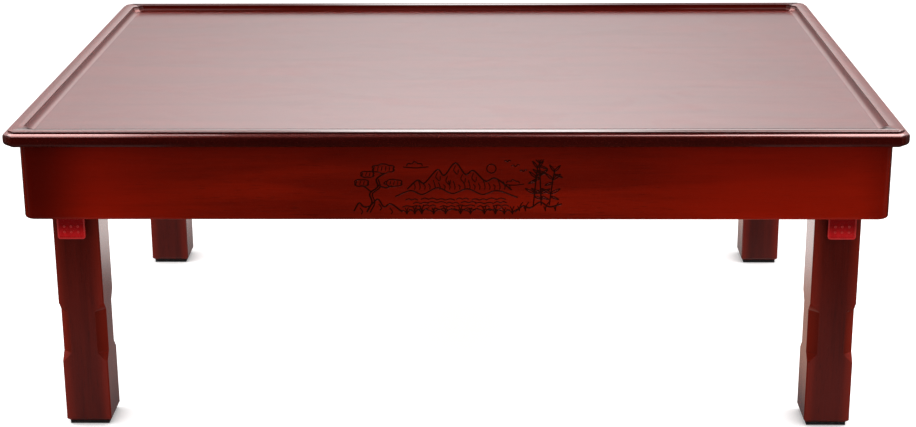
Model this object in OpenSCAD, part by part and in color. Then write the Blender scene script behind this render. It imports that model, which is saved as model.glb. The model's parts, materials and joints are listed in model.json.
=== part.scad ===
// Korean folding tea table: a tray-edged top on an apron frame, with four square legs.
// Each leg folds flat under the top about a steel hinge, and a red lever frees its spring catch.
// Sizes are in millimetres. The origin is on the floor, under the middle of the top.
// X runs along the table, Y from the front to the back, and Z is up.

/* [Tabletop] */
// Length over the rim
table_l = 900; // [820:10:1200]
// Depth over the rim
table_d = 656; // [600:4:800]
// Height from the floor to the crest of the rim
table_h = 333.5; // [300:0.5:350]
// Width of the rim, from its nose to the foot of the cove
rim_w = 24.5; // [22:0.5:34]
// Thickness of the rim, from its crest to its underside
rim_t = 16.5; // [15:0.5:22]
// Depth of the tray, from the crest of the rim to the panel
recess_depth = 8; // [7:0.25:9]
// Length cut off each edge at the rim's outer corners
rim_clip = 10; // [6:0.5:16]
// Length cut off each edge at the tray's inner corners, at the crest
recess_clip = 11; // [8:0.5:18]
// Thickness of the tongue on the panel's edge
tongue_t = 4; // [2:0.25:5]
// Length of the tongue on the panel's edge
tongue_l = 8; // [4:0.5:10]

/* [Rim moulding] */
// Radius under the nose
nose_low_r = 5; // [2:0.25:6]
// Radius over the nose
nose_top_r = 4.4; // [2:0.1:5]
// Height of the crest above its two shoulders
shoulder_drop = 2.6; // [1.2:0.1:3]
// Distance from the nose to the crest
crest_inset = 5.2; // [3.5:0.1:6]
// Width of the crest
crest_w = 12.2; // [9:0.1:13]
// Rise of the crest's crown
crown_rise = 0.9; // [0.3:0.1:1]
// Radius of the cove inside the rim
cove_r = 6.5; // [5.5:0.25:10]

/* [Apron] */
// Distance from the rim's nose back to the apron's face
apron_overhang = 13; // [10:0.5:18]
// Height of the apron
apron_h = 78.5; // [74:0.5:100]
// Thickness of the apron boards
apron_t = 15; // [12:0.5:18]
// Radius of the apron's upright corners
apron_corner_r = 13; // [6:0.5:15]
// Radius of the apron's lower edge
apron_edge_r = 3; // [1:0.25:5]
// Leg of the triangular glue blocks in the apron's corners
glue_block = 14; // [8:0.5:15]
// Height that the glue blocks stop short of the apron's lower edge
glue_block_rise = 4; // [1:0.5:12]

/* [Underframe] */
// Thickness of the boards that carry the hinges
board_t = 8; // [6:0.5:12]
// Distance that the hinge boards run past the hinge plates
board_margin = 12; // [6:1:30]
// Width of the cross battens
batten_w = 30; // [20:1:40]
// Thickness of the cross battens
batten_t = 20; // [14:1:28]
// Gap between a folded leg and its batten
batten_gap = 10; // [4:1:20]
// Shank diameter of the wood screws
screw_d = 3.5; // [3:0.1:4]
// Head diameter of the wood screws
screw_head_d = 7; // [6:0.1:8]
// Diameter of the wood screws' points
screw_point_d = 0.8; // [0.4:0.1:1]
// Length of the screws that hold the hinge plates
plate_screw_l = 9.5; // [8:0.5:10]
// Depth that the frame screws go into the panel
panel_bite = 5; // [3:0.5:6]
// Distance of the board screws in from a hinge board's edges
board_screw_inset = 10; // [8:0.5:16]
// Distance of a batten's end screws in from the apron
batten_screw_inset = 75; // [40:5:120]
// Clearance round a screw's head in its counterbore
counterbore_gap = 0.5; // [0.3:0.1:1]

/* [Legs] */
// Width of the square legs
leg_w = 47.5; // [42:0.5:50]
// Distance from the apron's end face in to a leg
leg_inset_x = 22.5; // [20:0.5:40]
// Distance from the apron's long face in to a leg
leg_inset_y = 30; // [27:0.5:40]
// Gap over the rounded top of a leg
leg_top_gap = 3; // [2:0.5:6]
// Rounding chamfer along a leg's arrises
leg_ease = 1.2; // [0.6:0.1:2]
// Leg of the carved stop chamfer on each arris
notch = 10; // [6:0.5:12]
// Height of the stop chamfer's full section above the floor
notch_z = 81.5; // [60:0.5:90]
// Length of the stop chamfer's full section
notch_l = 46.5; // [25:0.5:50]
// Length of the upper stop of the chamfer
notch_run_top = 11; // [6:0.5:18]
// Length of the lower stop of the chamfer
notch_run_low = 10.5; // [6:0.5:18]
// Chamfer round the leg's foot
foot_chamfer = 3; // [2:0.25:6]
// Thickness of the rubber foot pads
pad_t = 4; // [2:0.25:8]
// Corner radius of the foot pads
pad_corner_r = 3; // [1:0.5:6]

/* [Hinge] */
// Thickness of the hinge's steel
plate_t = 2; // [1.6:0.1:2.4]
// Width of the hinge's ears
ear_w = 36; // [34:0.5:40]
// Side gap between a leg and each ear
ear_gap = 0.4; // [0.2:0.05:0.8]
// Gap between a leg and the hinge's end stop
stop_gap = 0.4; // [0.2:0.05:1]
// Length of the hinge plate, inwards from the pin
plate_reach = 60; // [50:1:70]
// Distance of the inner plate screws in from the plate's end
plate_screw_inset = 10; // [8:0.5:14]
// Distance of the outer plate screws from the pin
plate_screw_x = 12; // [6:0.5:14]
// Distance of the plate screws from the plate's middle line
plate_screw_y = 15; // [8:0.5:16]
// Outer radius of the hinge's bends
bend_r = 2.6; // [2.4:0.1:3]
// Diameter of the hinge pin
pin_d = 8; // [6:0.25:9]
// Diameter of the hinge pin's heads
pin_head_d = 12; // [10:0.25:12.5]
// Thickness of the hinge pin's heads
pin_head_t = 2; // [1:0.1:2.4]
// Wall of the bush in the leg
bush_t = 2; // [1:0.25:3]
// Clearance all round a pin that turns
run_gap = 0.06; // [0.03:0.01:0.09]
// Clearance all round a part that is driven home
seat_gap = 0.03; // [0.02:0.01:0.05]

/* [Catch] */
// Distance of the catch stud from the hinge pin
catch_drop = 12.5; // [12:0.1:13]
// Diameter of the catch stud
catch_stud_d = 5; // [4:0.1:5.5]
// Clearance round the stud in its hole
catch_gap = 0.5; // [0.3:0.05:0.7]
// Depth of the stud in the ear
catch_bite = 1.5; // [1:0.1:1.6]
// Thickness of the spring leaf
spring_t = 0.8; // [0.6:0.05:1]
// Side gap between the spring leaf and the ear
spring_gap = 0.5; // [0.4:0.05:0.8]
// Half width of the spring leaf
spring_half_w = 18; // [17.5:0.25:19]
// Half width of the tongue that carries the stud
spring_tongue = 7; // [5:0.25:9]
// Width of metal left round the stud at the leaf's end
leaf_lip = 1; // [0.6:0.1:1.4]
// Distance of the leaf's cross bar below the hinge's ear
leaf_bar_drop = 4; // [3:0.25:5]
// Height of the leaf's cross bar
leaf_bar_h = 6; // [5:0.25:6.5]
// Height over which the leaf steps out from the leg
leaf_joggle_h = 8; // [7:0.25:8.5]
// Clearance between the leaf and the lever's bracket
leaf_gap = 0.4; // [0.3:0.05:0.6]

/* [Release lever] */
// Distance of the lever's pin below the hinge pin
lever_drop = 37; // [36:0.5:40]
// Distance of the lever's pin out from the leg's face
lever_out = 4.2; // [4.2:0.1:4.6]
// Diameter of the lever's pin
lever_pin_d = 3; // [2:0.1:3.2]
// Radius of the lever's hub
lever_hub_r = 3.2; // [2.8:0.1:3.4]
// Width of the lever's hub
lever_hub_w = 20; // [16:0.5:20]
// Length of the lever, from its pin to the lower end of its pad
lever_l = 32.5; // [28:0.5:44]
// Width of the lever's pad
lever_pad_w = 28.5; // [25:0.5:32]
// Height of the lever's pad
lever_pad_h = 28; // [22:0.5:29.5]
// Thickness of the lever's pad
lever_pad_t = 2.4; // [2:0.1:3]
// Gap behind the lever's pad, which is its travel
lever_pad_gap = 5; // [4.8:0.1:5.6]
// Sideways offset of the pad, towards the table's end
lever_pad_shift = 3; // [0:0.25:5]
// Corner radius of the lever's pad
lever_pad_r = 3; // [1.5:0.25:4]
// Width of the raised border round the pad
lever_border = 1.4; // [1:0.1:2]
// Height of the border and the grip bumps
lever_relief = 0.6; // [0.3:0.1:0.8]
// Diameter of the grip bumps
bump_d = 2.4; // [1.6:0.1:3]
// Distance between grip bumps along the pad
bump_pitch_x = 7; // [5:0.1:8]
// Distance between grip bumps up the pad
bump_pitch_z = 6; // [5:0.1:8]
// Height of the bumps' middle above the pad's lower end
bump_rise = 10.5; // [8:0.5:14]
// Thickness of the lever's toe behind the leaf
toe_t = 2; // [1.4:0.1:2.2]
// Length of the toe's tip
toe_tip = 6; // [4:0.25:7]
// Gap between the toe's tip and the hinge's ear
toe_drop = 2; // [1.5:0.25:3]
// Side gap between the lever and what it turns against
lever_gap = 0.3; // [0.2:0.05:0.5]
// Diameter of the lever pin's heads
lever_pin_head_d = 4.2; // [3.8:0.1:5]
// Thickness of the lever pin's heads
lever_pin_head_t = 0.8; // [0.5:0.1:1]
// Thickness of the bracket that carries the lever
saddle_t = 1.2; // [1:0.1:1.4]
// Corner radius of the bracket
saddle_r = 2; // [1:0.25:3]
// Width of the bracket beyond the leaf, on each side
saddle_lip = 0.5; // [0:0.1:1]
// Margin below the bracket's screw heads
saddle_margin = 2; // [1:0.25:4]
// Distance of the bracket's screws below the hinge pin
saddle_screw_drop = 43.5; // [43:0.25:45]
// Distance of each screw from the leg's middle
saddle_screw_x = 15; // [14.5:0.25:16]
// Shank diameter of the bracket's screws
saddle_screw_d = 3; // [2.4:0.1:3.2]
// Head diameter of the bracket's screws
saddle_screw_head_d = 5.6; // [4.8:0.1:5.8]
// Head height of the bracket's screws
saddle_screw_head_t = 1.3; // [0.8:0.1:1.4]
// Length of the bracket's screws
saddle_screw_l = 15; // [10:0.5:20]

/* [Hidden] */
$fn = 48;
arc_n = 6;
over = 1;
join = 0.01;
CORNERS = [["front_left", -1, -1], ["front_right", 1, -1], ["back_left", -1, 1], ["back_right", 1, 1]];
SIDES = [["left", -1], ["right", 1]];
WALLS = ["front", "back", "left", "right"];
CORNER_PARTS = ["hinge_bracket", "hinge_pin", "leg", "leg_bush", "foot_pad", "lever_bracket", "lever_pin",
  "catch_spring", "leg_screws", "release_lever", "corner_block"];

// Heights
rim_z = table_h - rim_t;
panel_z = table_h - recess_depth;
shoulder_z = table_h - shoulder_drop;
crest_edge_z = table_h - crown_rise;
tongue_z = (rim_z + panel_z - tongue_t) / 2;
apron_z = rim_z - apron_h;
board_z = rim_z - board_t;
plate_z = board_z - plate_t;
pivot_z = plate_z - leg_top_gap - leg_w / 2;
batten_z = rim_z - batten_t;

// Plan
half_l = table_l / 2;
half_d = table_d / 2;
apron_x = half_l - apron_overhang;
apron_y = half_d - apron_overhang;
bay_x = apron_x - apron_t;
bay_y = apron_y - apron_t;
leg_x = apron_x - leg_inset_x - leg_w / 2;
leg_y = apron_y - leg_inset_y - leg_w / 2;
batten_x = leg_x - pivot_z - batten_gap - batten_w / 2;
board_x = leg_x - plate_reach - board_margin;
crown_r = (pow(crest_w / 2, 2) + pow(crown_rise, 2)) / (2 * crown_rise);
crown_half_angle = asin(crest_w / 2 / crown_r);
cove_end_angle = asin((shoulder_z - panel_z - cove_r) / cove_r);
outer_diag = (half_l + half_d - rim_clip) / sqrt(2);
recess_diag = (half_l + half_d - 2 * (crest_inset + crest_w) - recess_clip) / sqrt(2) + crest_inset + crest_w;

// Hinge and lever, measured from the hinge pin at the middle of a leg
half_leg = leg_w / 2;
ear_in = half_leg + ear_gap;
ear_out = ear_in + plate_t;
stop_x = half_leg + stop_gap;
plate_under = leg_top_gap + half_leg;
plate_end_x = stop_x + plate_t;
leaf_in = ear_gap + plate_t + spring_gap;
leaf_out = leaf_in + spring_t;
saddle_low = saddle_screw_drop + saddle_screw_head_d / 2 + saddle_margin;
saddle_face = spring_t + saddle_t;
saddle_half_w = spring_half_w + saddle_lip;
saddle_ear_x = lever_hub_w / 2 + lever_gap;
leaf_slot = saddle_ear_x + saddle_t + leaf_gap;
leaf_bar_high = ear_w / 2 + leaf_bar_drop;
leaf_bar_low = leaf_bar_high + leaf_bar_h;
leaf_top = catch_drop - catch_stud_d / 2 - leaf_lip;
leaf_joggle_low = leaf_bar_low + leaf_joggle_h;
saddle_high = leaf_joggle_low + leaf_gap;
saddle_notch = lever_drop + lever_hub_r + 2 * lever_gap;
pad_low = lever_drop + lever_l;
pad_high = pad_low - lever_pad_h;
pad_mid = (pad_low + pad_high) / 2;
pad_front = lever_pad_gap + lever_pad_t;
toe_high = ear_w / 2 + toe_drop;
toe_low = toe_high + toe_tip;
toe_out = leaf_in - lever_gap;
toe_in = toe_out - toe_t;
pad_size = leg_w - 2 * foot_chamfer;

// Screws
plate_screw_xs = [-plate_reach + plate_screw_inset, plate_screw_x];
board_screw_xs = [board_x + board_screw_inset, bay_x - board_screw_inset];
board_screw_y = leg_y / 2;
batten_screw_y = bay_y - batten_screw_inset;
frame_screw_l = board_t + panel_bite;
screw_hole_r = screw_d / 2 + seat_gap;
csk_h = (screw_head_d - screw_d) / 2;

// An arc of points
function arc(c, r, a0, a1, n = arc_n) =
  [for (i = [0:n]) c + r * [cos(a0 + (a1 - a0) * i / n), sin(a0 + (a1 - a0) * i / n)]];

// A right half outline with its mirror image
function both_ways(pts) = concat(pts, [for (i = [len(pts) - 1:-1:0]) [-pts[i][0], pts[i][1]]]);

// Outer outline of the tabletop for a nose at distance h from the middle
function outer_edge(h) = concat(
  arc([h - nose_low_r, rim_z + nose_low_r], nose_low_r, -90, 0),
  arc([h - nose_top_r, shoulder_z - nose_top_r], nose_top_r, 0, 90),
  [[h - crest_inset, shoulder_z]],
  arc([h - crest_inset - crest_w / 2, table_h - crown_r], crown_r, 90 - crown_half_angle, 90, 4)
);

// Outline of the tray hollow for a nose at distance h from the middle
function recess_edge(h) = concat(
  arc([h - rim_w, panel_z + cove_r], cove_r, -90, cove_end_angle),
  [[h - crest_inset - crest_w, shoulder_z]],
  arc([h - crest_inset - crest_w / 2, table_h - crown_r], crown_r, 90 + crown_half_angle, 90, 4),
  [[h - crest_inset - crest_w / 2, table_h + over]]
);

// A section drawn across the depth, run along X
module along_x(l) {
  rotate([90, 0, 90]) linear_extrude(l, center = true) children();
}

// A section drawn across the length, run along Y
module along_y(l) {
  rotate([90, 0, 0]) linear_extrude(l, center = true) children();
}

// Moves a piece drawn for the front right leg to one of the four corners
module at_corner(c) {
  translate([c[1] * leg_x, c[2] * leg_y, pivot_z])
    mirror_if(c[1] < 0, [1, 0, 0])
      mirror_if(c[2] > 0, [0, 1, 0])
        children();
}

module mirror_if(on, axis) {
  if (on) mirror(axis) children();
  else children();
}

// A round bar along Y from one side distance to another, out from the leg's middle
module y_bar(d, from, to) {
  translate([0, -from, 0]) rotate([90, 0, 0]) cylinder(d = d, h = to - from);
}

// A flat shape drawn in X and Z, made solid between two distances out from the leg's middle
module y_sheet(from, to) {
  translate([0, -from, 0]) rotate([90, 0, 0]) linear_extrude(to - from) children();
}

module rounded_rect(w, h, r) {
  square([w - 2 * r, h], center = true);
  square([w, h - 2 * r], center = true);
  for (x = [-1, 1]) {
    for (y = [-1, 1]) {
      translate([x * (w / 2 - r), y * (h / 2 - r)]) circle(r = r);
    }
  }
}

// Countersunk wood screw, head down at the origin, with a gap all round it
module csk_screw(l, gap = 0) {
  cylinder(h = csk_h, r1 = screw_head_d / 2 + gap, r2 = screw_d / 2 + gap);
  translate([0, 0, csk_h - join]) cylinder(h = l - csk_h - screw_d, d = screw_d + 2 * gap);
  if (gap == 0) {
    translate([0, 0, l - screw_d - 2 * join]) cylinder(h = screw_d, d1 = screw_d, d2 = screw_point_d);
  }
}

// Places of the screws that hold the hinge plates
module at_plate_screws() {
  for (x = plate_screw_xs) {
    for (y = [-plate_screw_y, plate_screw_y]) {
      translate([x, y, plate_under]) children();
    }
  }
}

// Places of the screws that hold a hinge board, and those of a batten
module at_board_screws(s) {
  for (x = board_screw_xs) {
    for (y = [-board_screw_y, board_screw_y]) {
      translate([s[1] * x, y, board_z]) children();
    }
  }
}

module at_batten_screws(s) {
  for (y = [-batten_screw_y, 0, batten_screw_y]) {
    translate([s[1] * batten_x, y, board_z]) children();
  }
}

// Clipped rectangle of the tray floor, grown outwards by o
module tray_outline(o) {
  intersection() {
    square([2 * (half_l - rim_w + o), 2 * (half_d - rim_w + o)], center = true);
    rotate(45) square(2 * (recess_diag - rim_w + o), center = true);
  }
}

module top_panel() {
  color("#6b1f1a") difference() {
    union() {
      translate([0, 0, rim_z]) linear_extrude(panel_z - rim_z) tray_outline(0);
      translate([0, 0, tongue_z]) linear_extrude(tongue_t) tray_outline(tongue_l);
    }
    for (s = SIDES) {
      at_board_screws(s) cylinder(h = frame_screw_l, r = screw_hole_r);
      at_batten_screws(s) cylinder(h = frame_screw_l, r = screw_hole_r);
    }
  }
}

// The whole rim as one ring, before it is cut at its mitres
module rim_ring() {
  reach = table_l + table_d;
  difference() {
    intersection() {
      along_x(reach) polygon(both_ways(outer_edge(half_d)));
      along_y(reach) polygon(both_ways(outer_edge(half_l)));
      rotate(45) along_y(reach) polygon(both_ways(outer_edge(outer_diag)));
      rotate(-45) along_y(reach) polygon(both_ways(outer_edge(outer_diag)));
    }
    intersection() {
      along_x(reach) polygon(both_ways(recess_edge(half_d)));
      along_y(reach) polygon(both_ways(recess_edge(half_l)));
      rotate(45) along_y(reach) polygon(both_ways(recess_edge(recess_diag)));
      rotate(-45) along_y(reach) polygon(both_ways(recess_edge(recess_diag)));
    }
    translate([0, 0, rim_z - over]) linear_extrude(panel_z - rim_z + 2 * over) tray_outline(0);
    translate([0, 0, tongue_z]) linear_extrude(tongue_t) tray_outline(tongue_l);
  }
}

// The space of one wall of a frame, cut at 45 degrees through its corners
module mitre(wall, x, y, reach) {
  out = 20;
  long = [[-x - out, -y - out], [x + out, -y - out], [x - reach, -y + reach], [-x + reach, -y + reach]];
  short = [[-x - out, y + out], [-x - out, -y - out], [-x + reach, -y + reach], [-x + reach, y - reach]];
  linear_extrude(table_h + over) {
    if (wall == "front") polygon(long);
    if (wall == "back") rotate(180) polygon(long);
    if (wall == "left") polygon(short);
    if (wall == "right") rotate(180) polygon(short);
  }
}

module rim(wall) {
  color("#5a120c") intersection() {
    rim_ring();
    mitre(wall, half_l, half_d, rim_w + recess_clip);
  }
}

// Outline of the apron's section for a face at distance h from the middle
function apron_edge(h) = concat(
  [[0, apron_z]],
  arc([h - apron_edge_r, apron_z + apron_edge_r], apron_edge_r, -90, 0, 4),
  [[h, rim_z], [0, rim_z]]
);

module apron_ring() {
  straight_x = 2 * (apron_x - apron_corner_r);
  straight_y = 2 * (apron_y - apron_corner_r);
  difference() {
    union() {
      for (a = [0, 180]) {
        rotate(a) along_x(straight_x) polygon(apron_edge(apron_y));
        rotate(a) along_y(straight_y) polygon(apron_edge(apron_x));
      }
      for (x = [-1, 1]) {
        for (y = [-1, 1]) {
          translate([x * (apron_x - apron_corner_r), y * (apron_y - apron_corner_r), 0])
            rotate_extrude() polygon(apron_edge(apron_corner_r));
        }
      }
    }
    translate([-bay_x, -bay_y, apron_z - over]) cube([2 * bay_x, 2 * bay_y, apron_h + 2 * over]);
  }
}

module apron(wall) {
  color("#5e1008") intersection() {
    apron_ring();
    mitre(wall, apron_x, apron_y, 2 * apron_t);
  }
}

module corner_block(c) {
  color("#b98a5a")
    translate([c[1] * bay_x, c[2] * bay_y, apron_z + glue_block_rise])
      linear_extrude(board_z - apron_z - glue_block_rise)
        polygon([[0, 0], [-c[1] * glue_block, 0], [0, -c[2] * glue_block]]);
}

module hinge_board(s) {
  color("#c29b6b") difference() {
    mirror_if(s[1] < 0, [1, 0, 0])
      translate([board_x, -bay_y, board_z]) cube([bay_x - board_x, 2 * bay_y, board_t]);
    for (c = CORNERS) {
      if (c[1] == s[1]) {
        at_corner(c) at_plate_screws() cylinder(h = plate_screw_l, r = screw_hole_r);
      }
    }
    at_board_screws(s) csk_screw(frame_screw_l, seat_gap);
    at_board_screws(s) cylinder(h = frame_screw_l, r = screw_hole_r);
  }
}

module batten(s) {
  color("#c29b6b") difference() {
    translate([s[1] * batten_x - batten_w / 2, -bay_y, batten_z]) cube([batten_w, 2 * bay_y, batten_t]);
    at_batten_screws(s) csk_screw(frame_screw_l, seat_gap);
    at_batten_screws(s) cylinder(h = frame_screw_l, r = screw_hole_r);
    at_batten_screws(s) translate([0, 0, batten_z - board_z - over])
      cylinder(h = batten_t - board_t + over, r = screw_head_d / 2 + counterbore_gap);
  }
}

module hinge_screws() {
  color("silver") for (c = CORNERS) {
    at_corner(c) at_plate_screws() csk_screw(plate_screw_l);
  }
}

module frame_screws() {
  color("silver") for (s = SIDES) {
    at_board_screws(s) csk_screw(frame_screw_l);
    at_batten_screws(s) csk_screw(frame_screw_l);
  }
}

// One ear of the hinge, seen from its side
module ear_outline() {
  circle(d = ear_w);
  translate([-ear_w / 2, 0]) square([ear_w, plate_under + plate_t]);
}

// Removes the sharp outer corner of a bend that runs along X
module bend_cut_x(l) {
  rotate([90, 0, 90]) linear_extrude(l, center = true) difference() {
    square(bend_r + over);
    circle(r = bend_r);
  }
}

module hinge_bracket(c) {
  plate_top = plate_under + plate_t;
  color("#b8bcc0") at_corner(c) difference() {
    union() {
      translate([(plate_end_x - plate_reach) / 2, 0, plate_under])
        linear_extrude(plate_t) rounded_rect(plate_end_x + plate_reach, 2 * ear_out, bend_r);
      y_sheet(ear_in, ear_out) ear_outline();
      y_sheet(-ear_out, -ear_in) ear_outline();
      translate([stop_x, -ear_w / 2, -ear_w / 2]) cube([plate_t, ear_w, plate_top + ear_w / 2]);
    }
    y_bar(pin_d + 2 * seat_gap, -ear_out - over, ear_out + over);
    for (a = [0, 90]) {
      rotate([0, a, 0]) translate([0, 0, -catch_drop])
        y_bar(catch_stud_d + 2 * catch_gap, ear_in - over, ear_out + over);
    }
    for (y = [-1, 1]) {
      translate([0, y * (ear_out - bend_r), plate_top - bend_r])
        mirror_if(y < 0, [0, 1, 0]) bend_cut_x(2 * (plate_reach + plate_end_x));
    }
    translate([plate_end_x - bend_r, 0, plate_top - bend_r]) rotate(-90) bend_cut_x(ear_w);
    at_plate_screws() csk_screw(plate_screw_l, seat_gap);
  }
}

module hinge_pin(c) {
  color("#c8ccd0") at_corner(c) {
    y_bar(pin_d, -ear_out - pin_head_t / 2, ear_out + pin_head_t / 2);
    y_bar(pin_head_d, ear_out, ear_out + pin_head_t);
    y_bar(pin_head_d, -ear_out - pin_head_t, -ear_out);
  }
}

// The stop chamfer's cutter on the arris at +X and -Y
module notch_cut() {
  depth = notch / sqrt(2);
  low = notch_z - pivot_z;
  high = low + notch_l;
  far = half_leg * sqrt(2) - depth;
  // the sloping ends run on past the arris by one tenth
  past = 1.1;
  rotate(-45) rotate([90, 0, 0]) linear_extrude(4 * notch, center = true) polygon([
    [far, low],
    [far + depth * past, low - notch_run_low * past],
    [far + depth * past, high + notch_run_top * past],
    [far, high]
  ]);
}

// Square leg with a round top, eased along every arris
module leg_blank(foot) {
  translate([0, 0, foot]) linear_extrude(-foot) intersection() {
    square(leg_w, center = true);
    rotate(45) square(leg_w * sqrt(2) - leg_ease * sqrt(2), center = true);
  }
  y_bar(leg_w, leg_ease - half_leg, half_leg - leg_ease);
  for (a = [90, -90]) {
    rotate([a, 0, 0]) translate([0, 0, half_leg - leg_ease])
      cylinder(h = leg_ease, r1 = half_leg, r2 = half_leg - leg_ease);
  }
}

module leg(c) {
  foot = pad_t - pivot_z;
  screw_end = half_leg + saddle_face - saddle_screw_l;
  color("#4e140d") at_corner(c) difference() {
    leg_blank(foot);
    for (a = [0:90:270]) {
      rotate(a) notch_cut();
      // chamfered foot
      rotate(a) translate([0, 0, foot]) along_y(leg_w + 2 * over) polygon([
        [half_leg - foot_chamfer - over, -over],
        [half_leg + over, foot_chamfer + over],
        [half_leg + over, -over]
      ]);
    }
    y_bar(pin_d + 2 * (run_gap + bush_t), -half_leg - over, half_leg + over);
    saddle_screw_places() y_bar(saddle_screw_d + 2 * seat_gap, screw_end - over, half_leg + over);
  }
}

module leg_bush(c) {
  color("#9a8a5a") at_corner(c) difference() {
    y_bar(pin_d + 2 * (run_gap + bush_t - seat_gap), -half_leg, half_leg);
    y_bar(pin_d + 2 * run_gap, -half_leg - over, half_leg + over);
  }
}

module foot_pad(c) {
  color("#1a1a1c") at_corner(c) translate([0, 0, -pivot_z])
    linear_extrude(pad_t) rounded_rect(pad_size, pad_size, pad_corner_r);
}

module saddle_screw_places() {
  for (x = [-1, 1]) {
    translate([x * saddle_screw_x, 0, -saddle_screw_drop]) children();
  }
}

// Side outline in distance out from the leg's face and height, run across the leg
module across(w, shift = 0) {
  translate([shift, -half_leg, 0]) rotate([90, 0, -90]) linear_extrude(w, center = true) children();
}

// Bracket on the leg's face, with two ears for the lever's pin
module lever_bracket(c) {
  color("#b8bcc0") at_corner(c) difference() {
    union() {
      y_sheet(half_leg + spring_t, half_leg + saddle_face) difference() {
        translate([0, -(saddle_low + saddle_high) / 2])
          rounded_rect(2 * saddle_half_w, saddle_low - saddle_high, saddle_r);
        translate([-saddle_ear_x, -saddle_notch]) square([2 * saddle_ear_x, saddle_notch]);
      }
      for (x = [-1, 1]) {
        across(saddle_t, x * (saddle_ear_x + saddle_t / 2)) {
          translate([lever_out, -lever_drop]) circle(r = lever_hub_r);
          translate([spring_t, -lever_drop - lever_hub_r]) square([lever_out - spring_t, 2 * lever_hub_r]);
        }
      }
    }
    lever_axis(lever_pin_d + 2 * seat_gap, saddle_half_w * 2);
    saddle_screw_places() y_bar(saddle_screw_d + 2 * seat_gap, half_leg, half_leg + saddle_face + over);
  }
}

// A round bar on the lever's axis
module lever_axis(d, l) {
  across(l) translate([lever_out, -lever_drop]) circle(d = d);
}

module lever_pin(c) {
  reach = saddle_ear_x + saddle_t;
  color("#c8ccd0") at_corner(c) {
    lever_axis(lever_pin_d, 2 * reach + lever_pin_head_t);
    for (x = [-1, 1]) {
      translate([x * (reach + lever_pin_head_t / 2), 0, 0]) lever_axis(lever_pin_head_d, lever_pin_head_t);
    }
  }
}

// Spring leaf with a stud that drops into the hinge's ear
module catch_spring(c) {
  leaf = [
    [0, -saddle_low], [spring_t, -saddle_low], [spring_t, -leaf_joggle_low], [leaf_out, -leaf_bar_low],
    [leaf_out, -leaf_top], [leaf_in, -leaf_top], [leaf_in, -leaf_bar_low], [0, -leaf_joggle_low]
  ];
  color("#8f959b") at_corner(c) {
    difference() {
      intersection() {
        across(2 * spring_half_w) polygon(leaf);
        y_sheet(half_leg - over, half_leg + leaf_out + over) {
          translate([-spring_half_w, -saddle_low]) square([2 * spring_half_w, saddle_low - leaf_bar_high]);
          translate([-spring_tongue, -leaf_bar_high - over])
            square([2 * spring_tongue, leaf_bar_high + over - leaf_top]);
        }
      }
      y_sheet(half_leg - 2 * over, half_leg + leaf_out + 2 * over)
        translate([-leaf_slot, -saddle_low - over])
          square([2 * leaf_slot, saddle_low + over - leaf_bar_low]);
      saddle_screw_places() y_bar(saddle_screw_d + 2 * seat_gap, half_leg - over, half_leg + spring_t + over);
    }
    translate([0, 0, -catch_drop])
      y_bar(catch_stud_d, ear_out - catch_bite, half_leg + leaf_in + spring_t / 2);
  }
}

module leg_screws(c) {
  head = half_leg + saddle_face;
  color("silver") at_corner(c) saddle_screw_places() {
    y_bar(saddle_screw_head_d, head, head + saddle_screw_head_t);
    y_bar(saddle_screw_d, head - saddle_screw_l, head + saddle_screw_head_t / 2);
  }
}

// Red lever: a thumb pad below the pin, and a toe behind the spring leaf above it
module release_lever(c) {
  color("#b3101a") at_corner(c) difference() {
    union() {
      across(lever_hub_w) {
        translate([lever_out, -lever_drop]) circle(r = lever_hub_r);
        polygon([
          [lever_pad_gap, -pad_high - lever_pad_r], [pad_front, -pad_high - lever_pad_r],
          [lever_out + lever_hub_r, -lever_drop], [lever_out, -lever_drop]
        ]);
        polygon([
          [lever_out - lever_hub_r, -lever_drop], [lever_out, -lever_drop + lever_hub_r],
          [toe_out, -toe_low - toe_t], [toe_out, -toe_high], [toe_in, -toe_high], [toe_in, -toe_low]
        ]);
      }
      y_sheet(half_leg + lever_pad_gap, half_leg + pad_front) pad_outline(0);
      y_sheet(half_leg + pad_front - lever_relief, half_leg + pad_front + lever_relief) difference() {
        pad_outline(0);
        pad_outline(lever_border);
      }
      for (x = [-1, 0, 1]) {
        for (z = [-1, 1]) {
          translate([lever_pad_shift + x * bump_pitch_x, 0, z * bump_pitch_z / 2 - pad_low + bump_rise])
            y_bar(bump_d, half_leg + pad_front - lever_relief, half_leg + pad_front + lever_relief);
        }
      }
    }
    lever_axis(lever_pin_d + 2 * run_gap, lever_pad_w * 2);
  }
}

// Front view of the lever's pad, shrunk by its border
module pad_outline(inset) {
  translate([lever_pad_shift, -pad_mid])
    rounded_rect(lever_pad_w - 2 * inset, lever_pad_h - 2 * inset, lever_pad_r - inset / 2);
}

top_panel();
hinge_screws();
frame_screws();
for (w = WALLS) {
  rim(w);
  apron(w);
}
for (s = SIDES) {
  hinge_board(s);
  batten(s);
}
for (c = CORNERS) {
  hinge_bracket(c);
  hinge_pin(c);
  leg(c);
  leg_bush(c);
  foot_pad(c);
  lever_bracket(c);
  lever_pin(c);
  catch_spring(c);
  leg_screws(c);
  release_lever(c);
  corner_block(c);
}
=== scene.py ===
"""Looks of a folding tea table: lacquered wood, a carved front and sprung folding legs.

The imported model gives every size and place. Each sub-assembly is a class that shapes its own
pieces round the model's nodes and dresses them in its finishes.
"""

import json
import logging
import math
from collections.abc import Callable, Iterable, Sequence
from dataclasses import dataclass, replace
from enum import Enum
from typing import NamedTuple

import bmesh  # noqa: E402
import bpy  # noqa: E402
import numpy as np  # noqa: E402
from mathutils import Matrix, Vector  # noqa: E402


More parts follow.
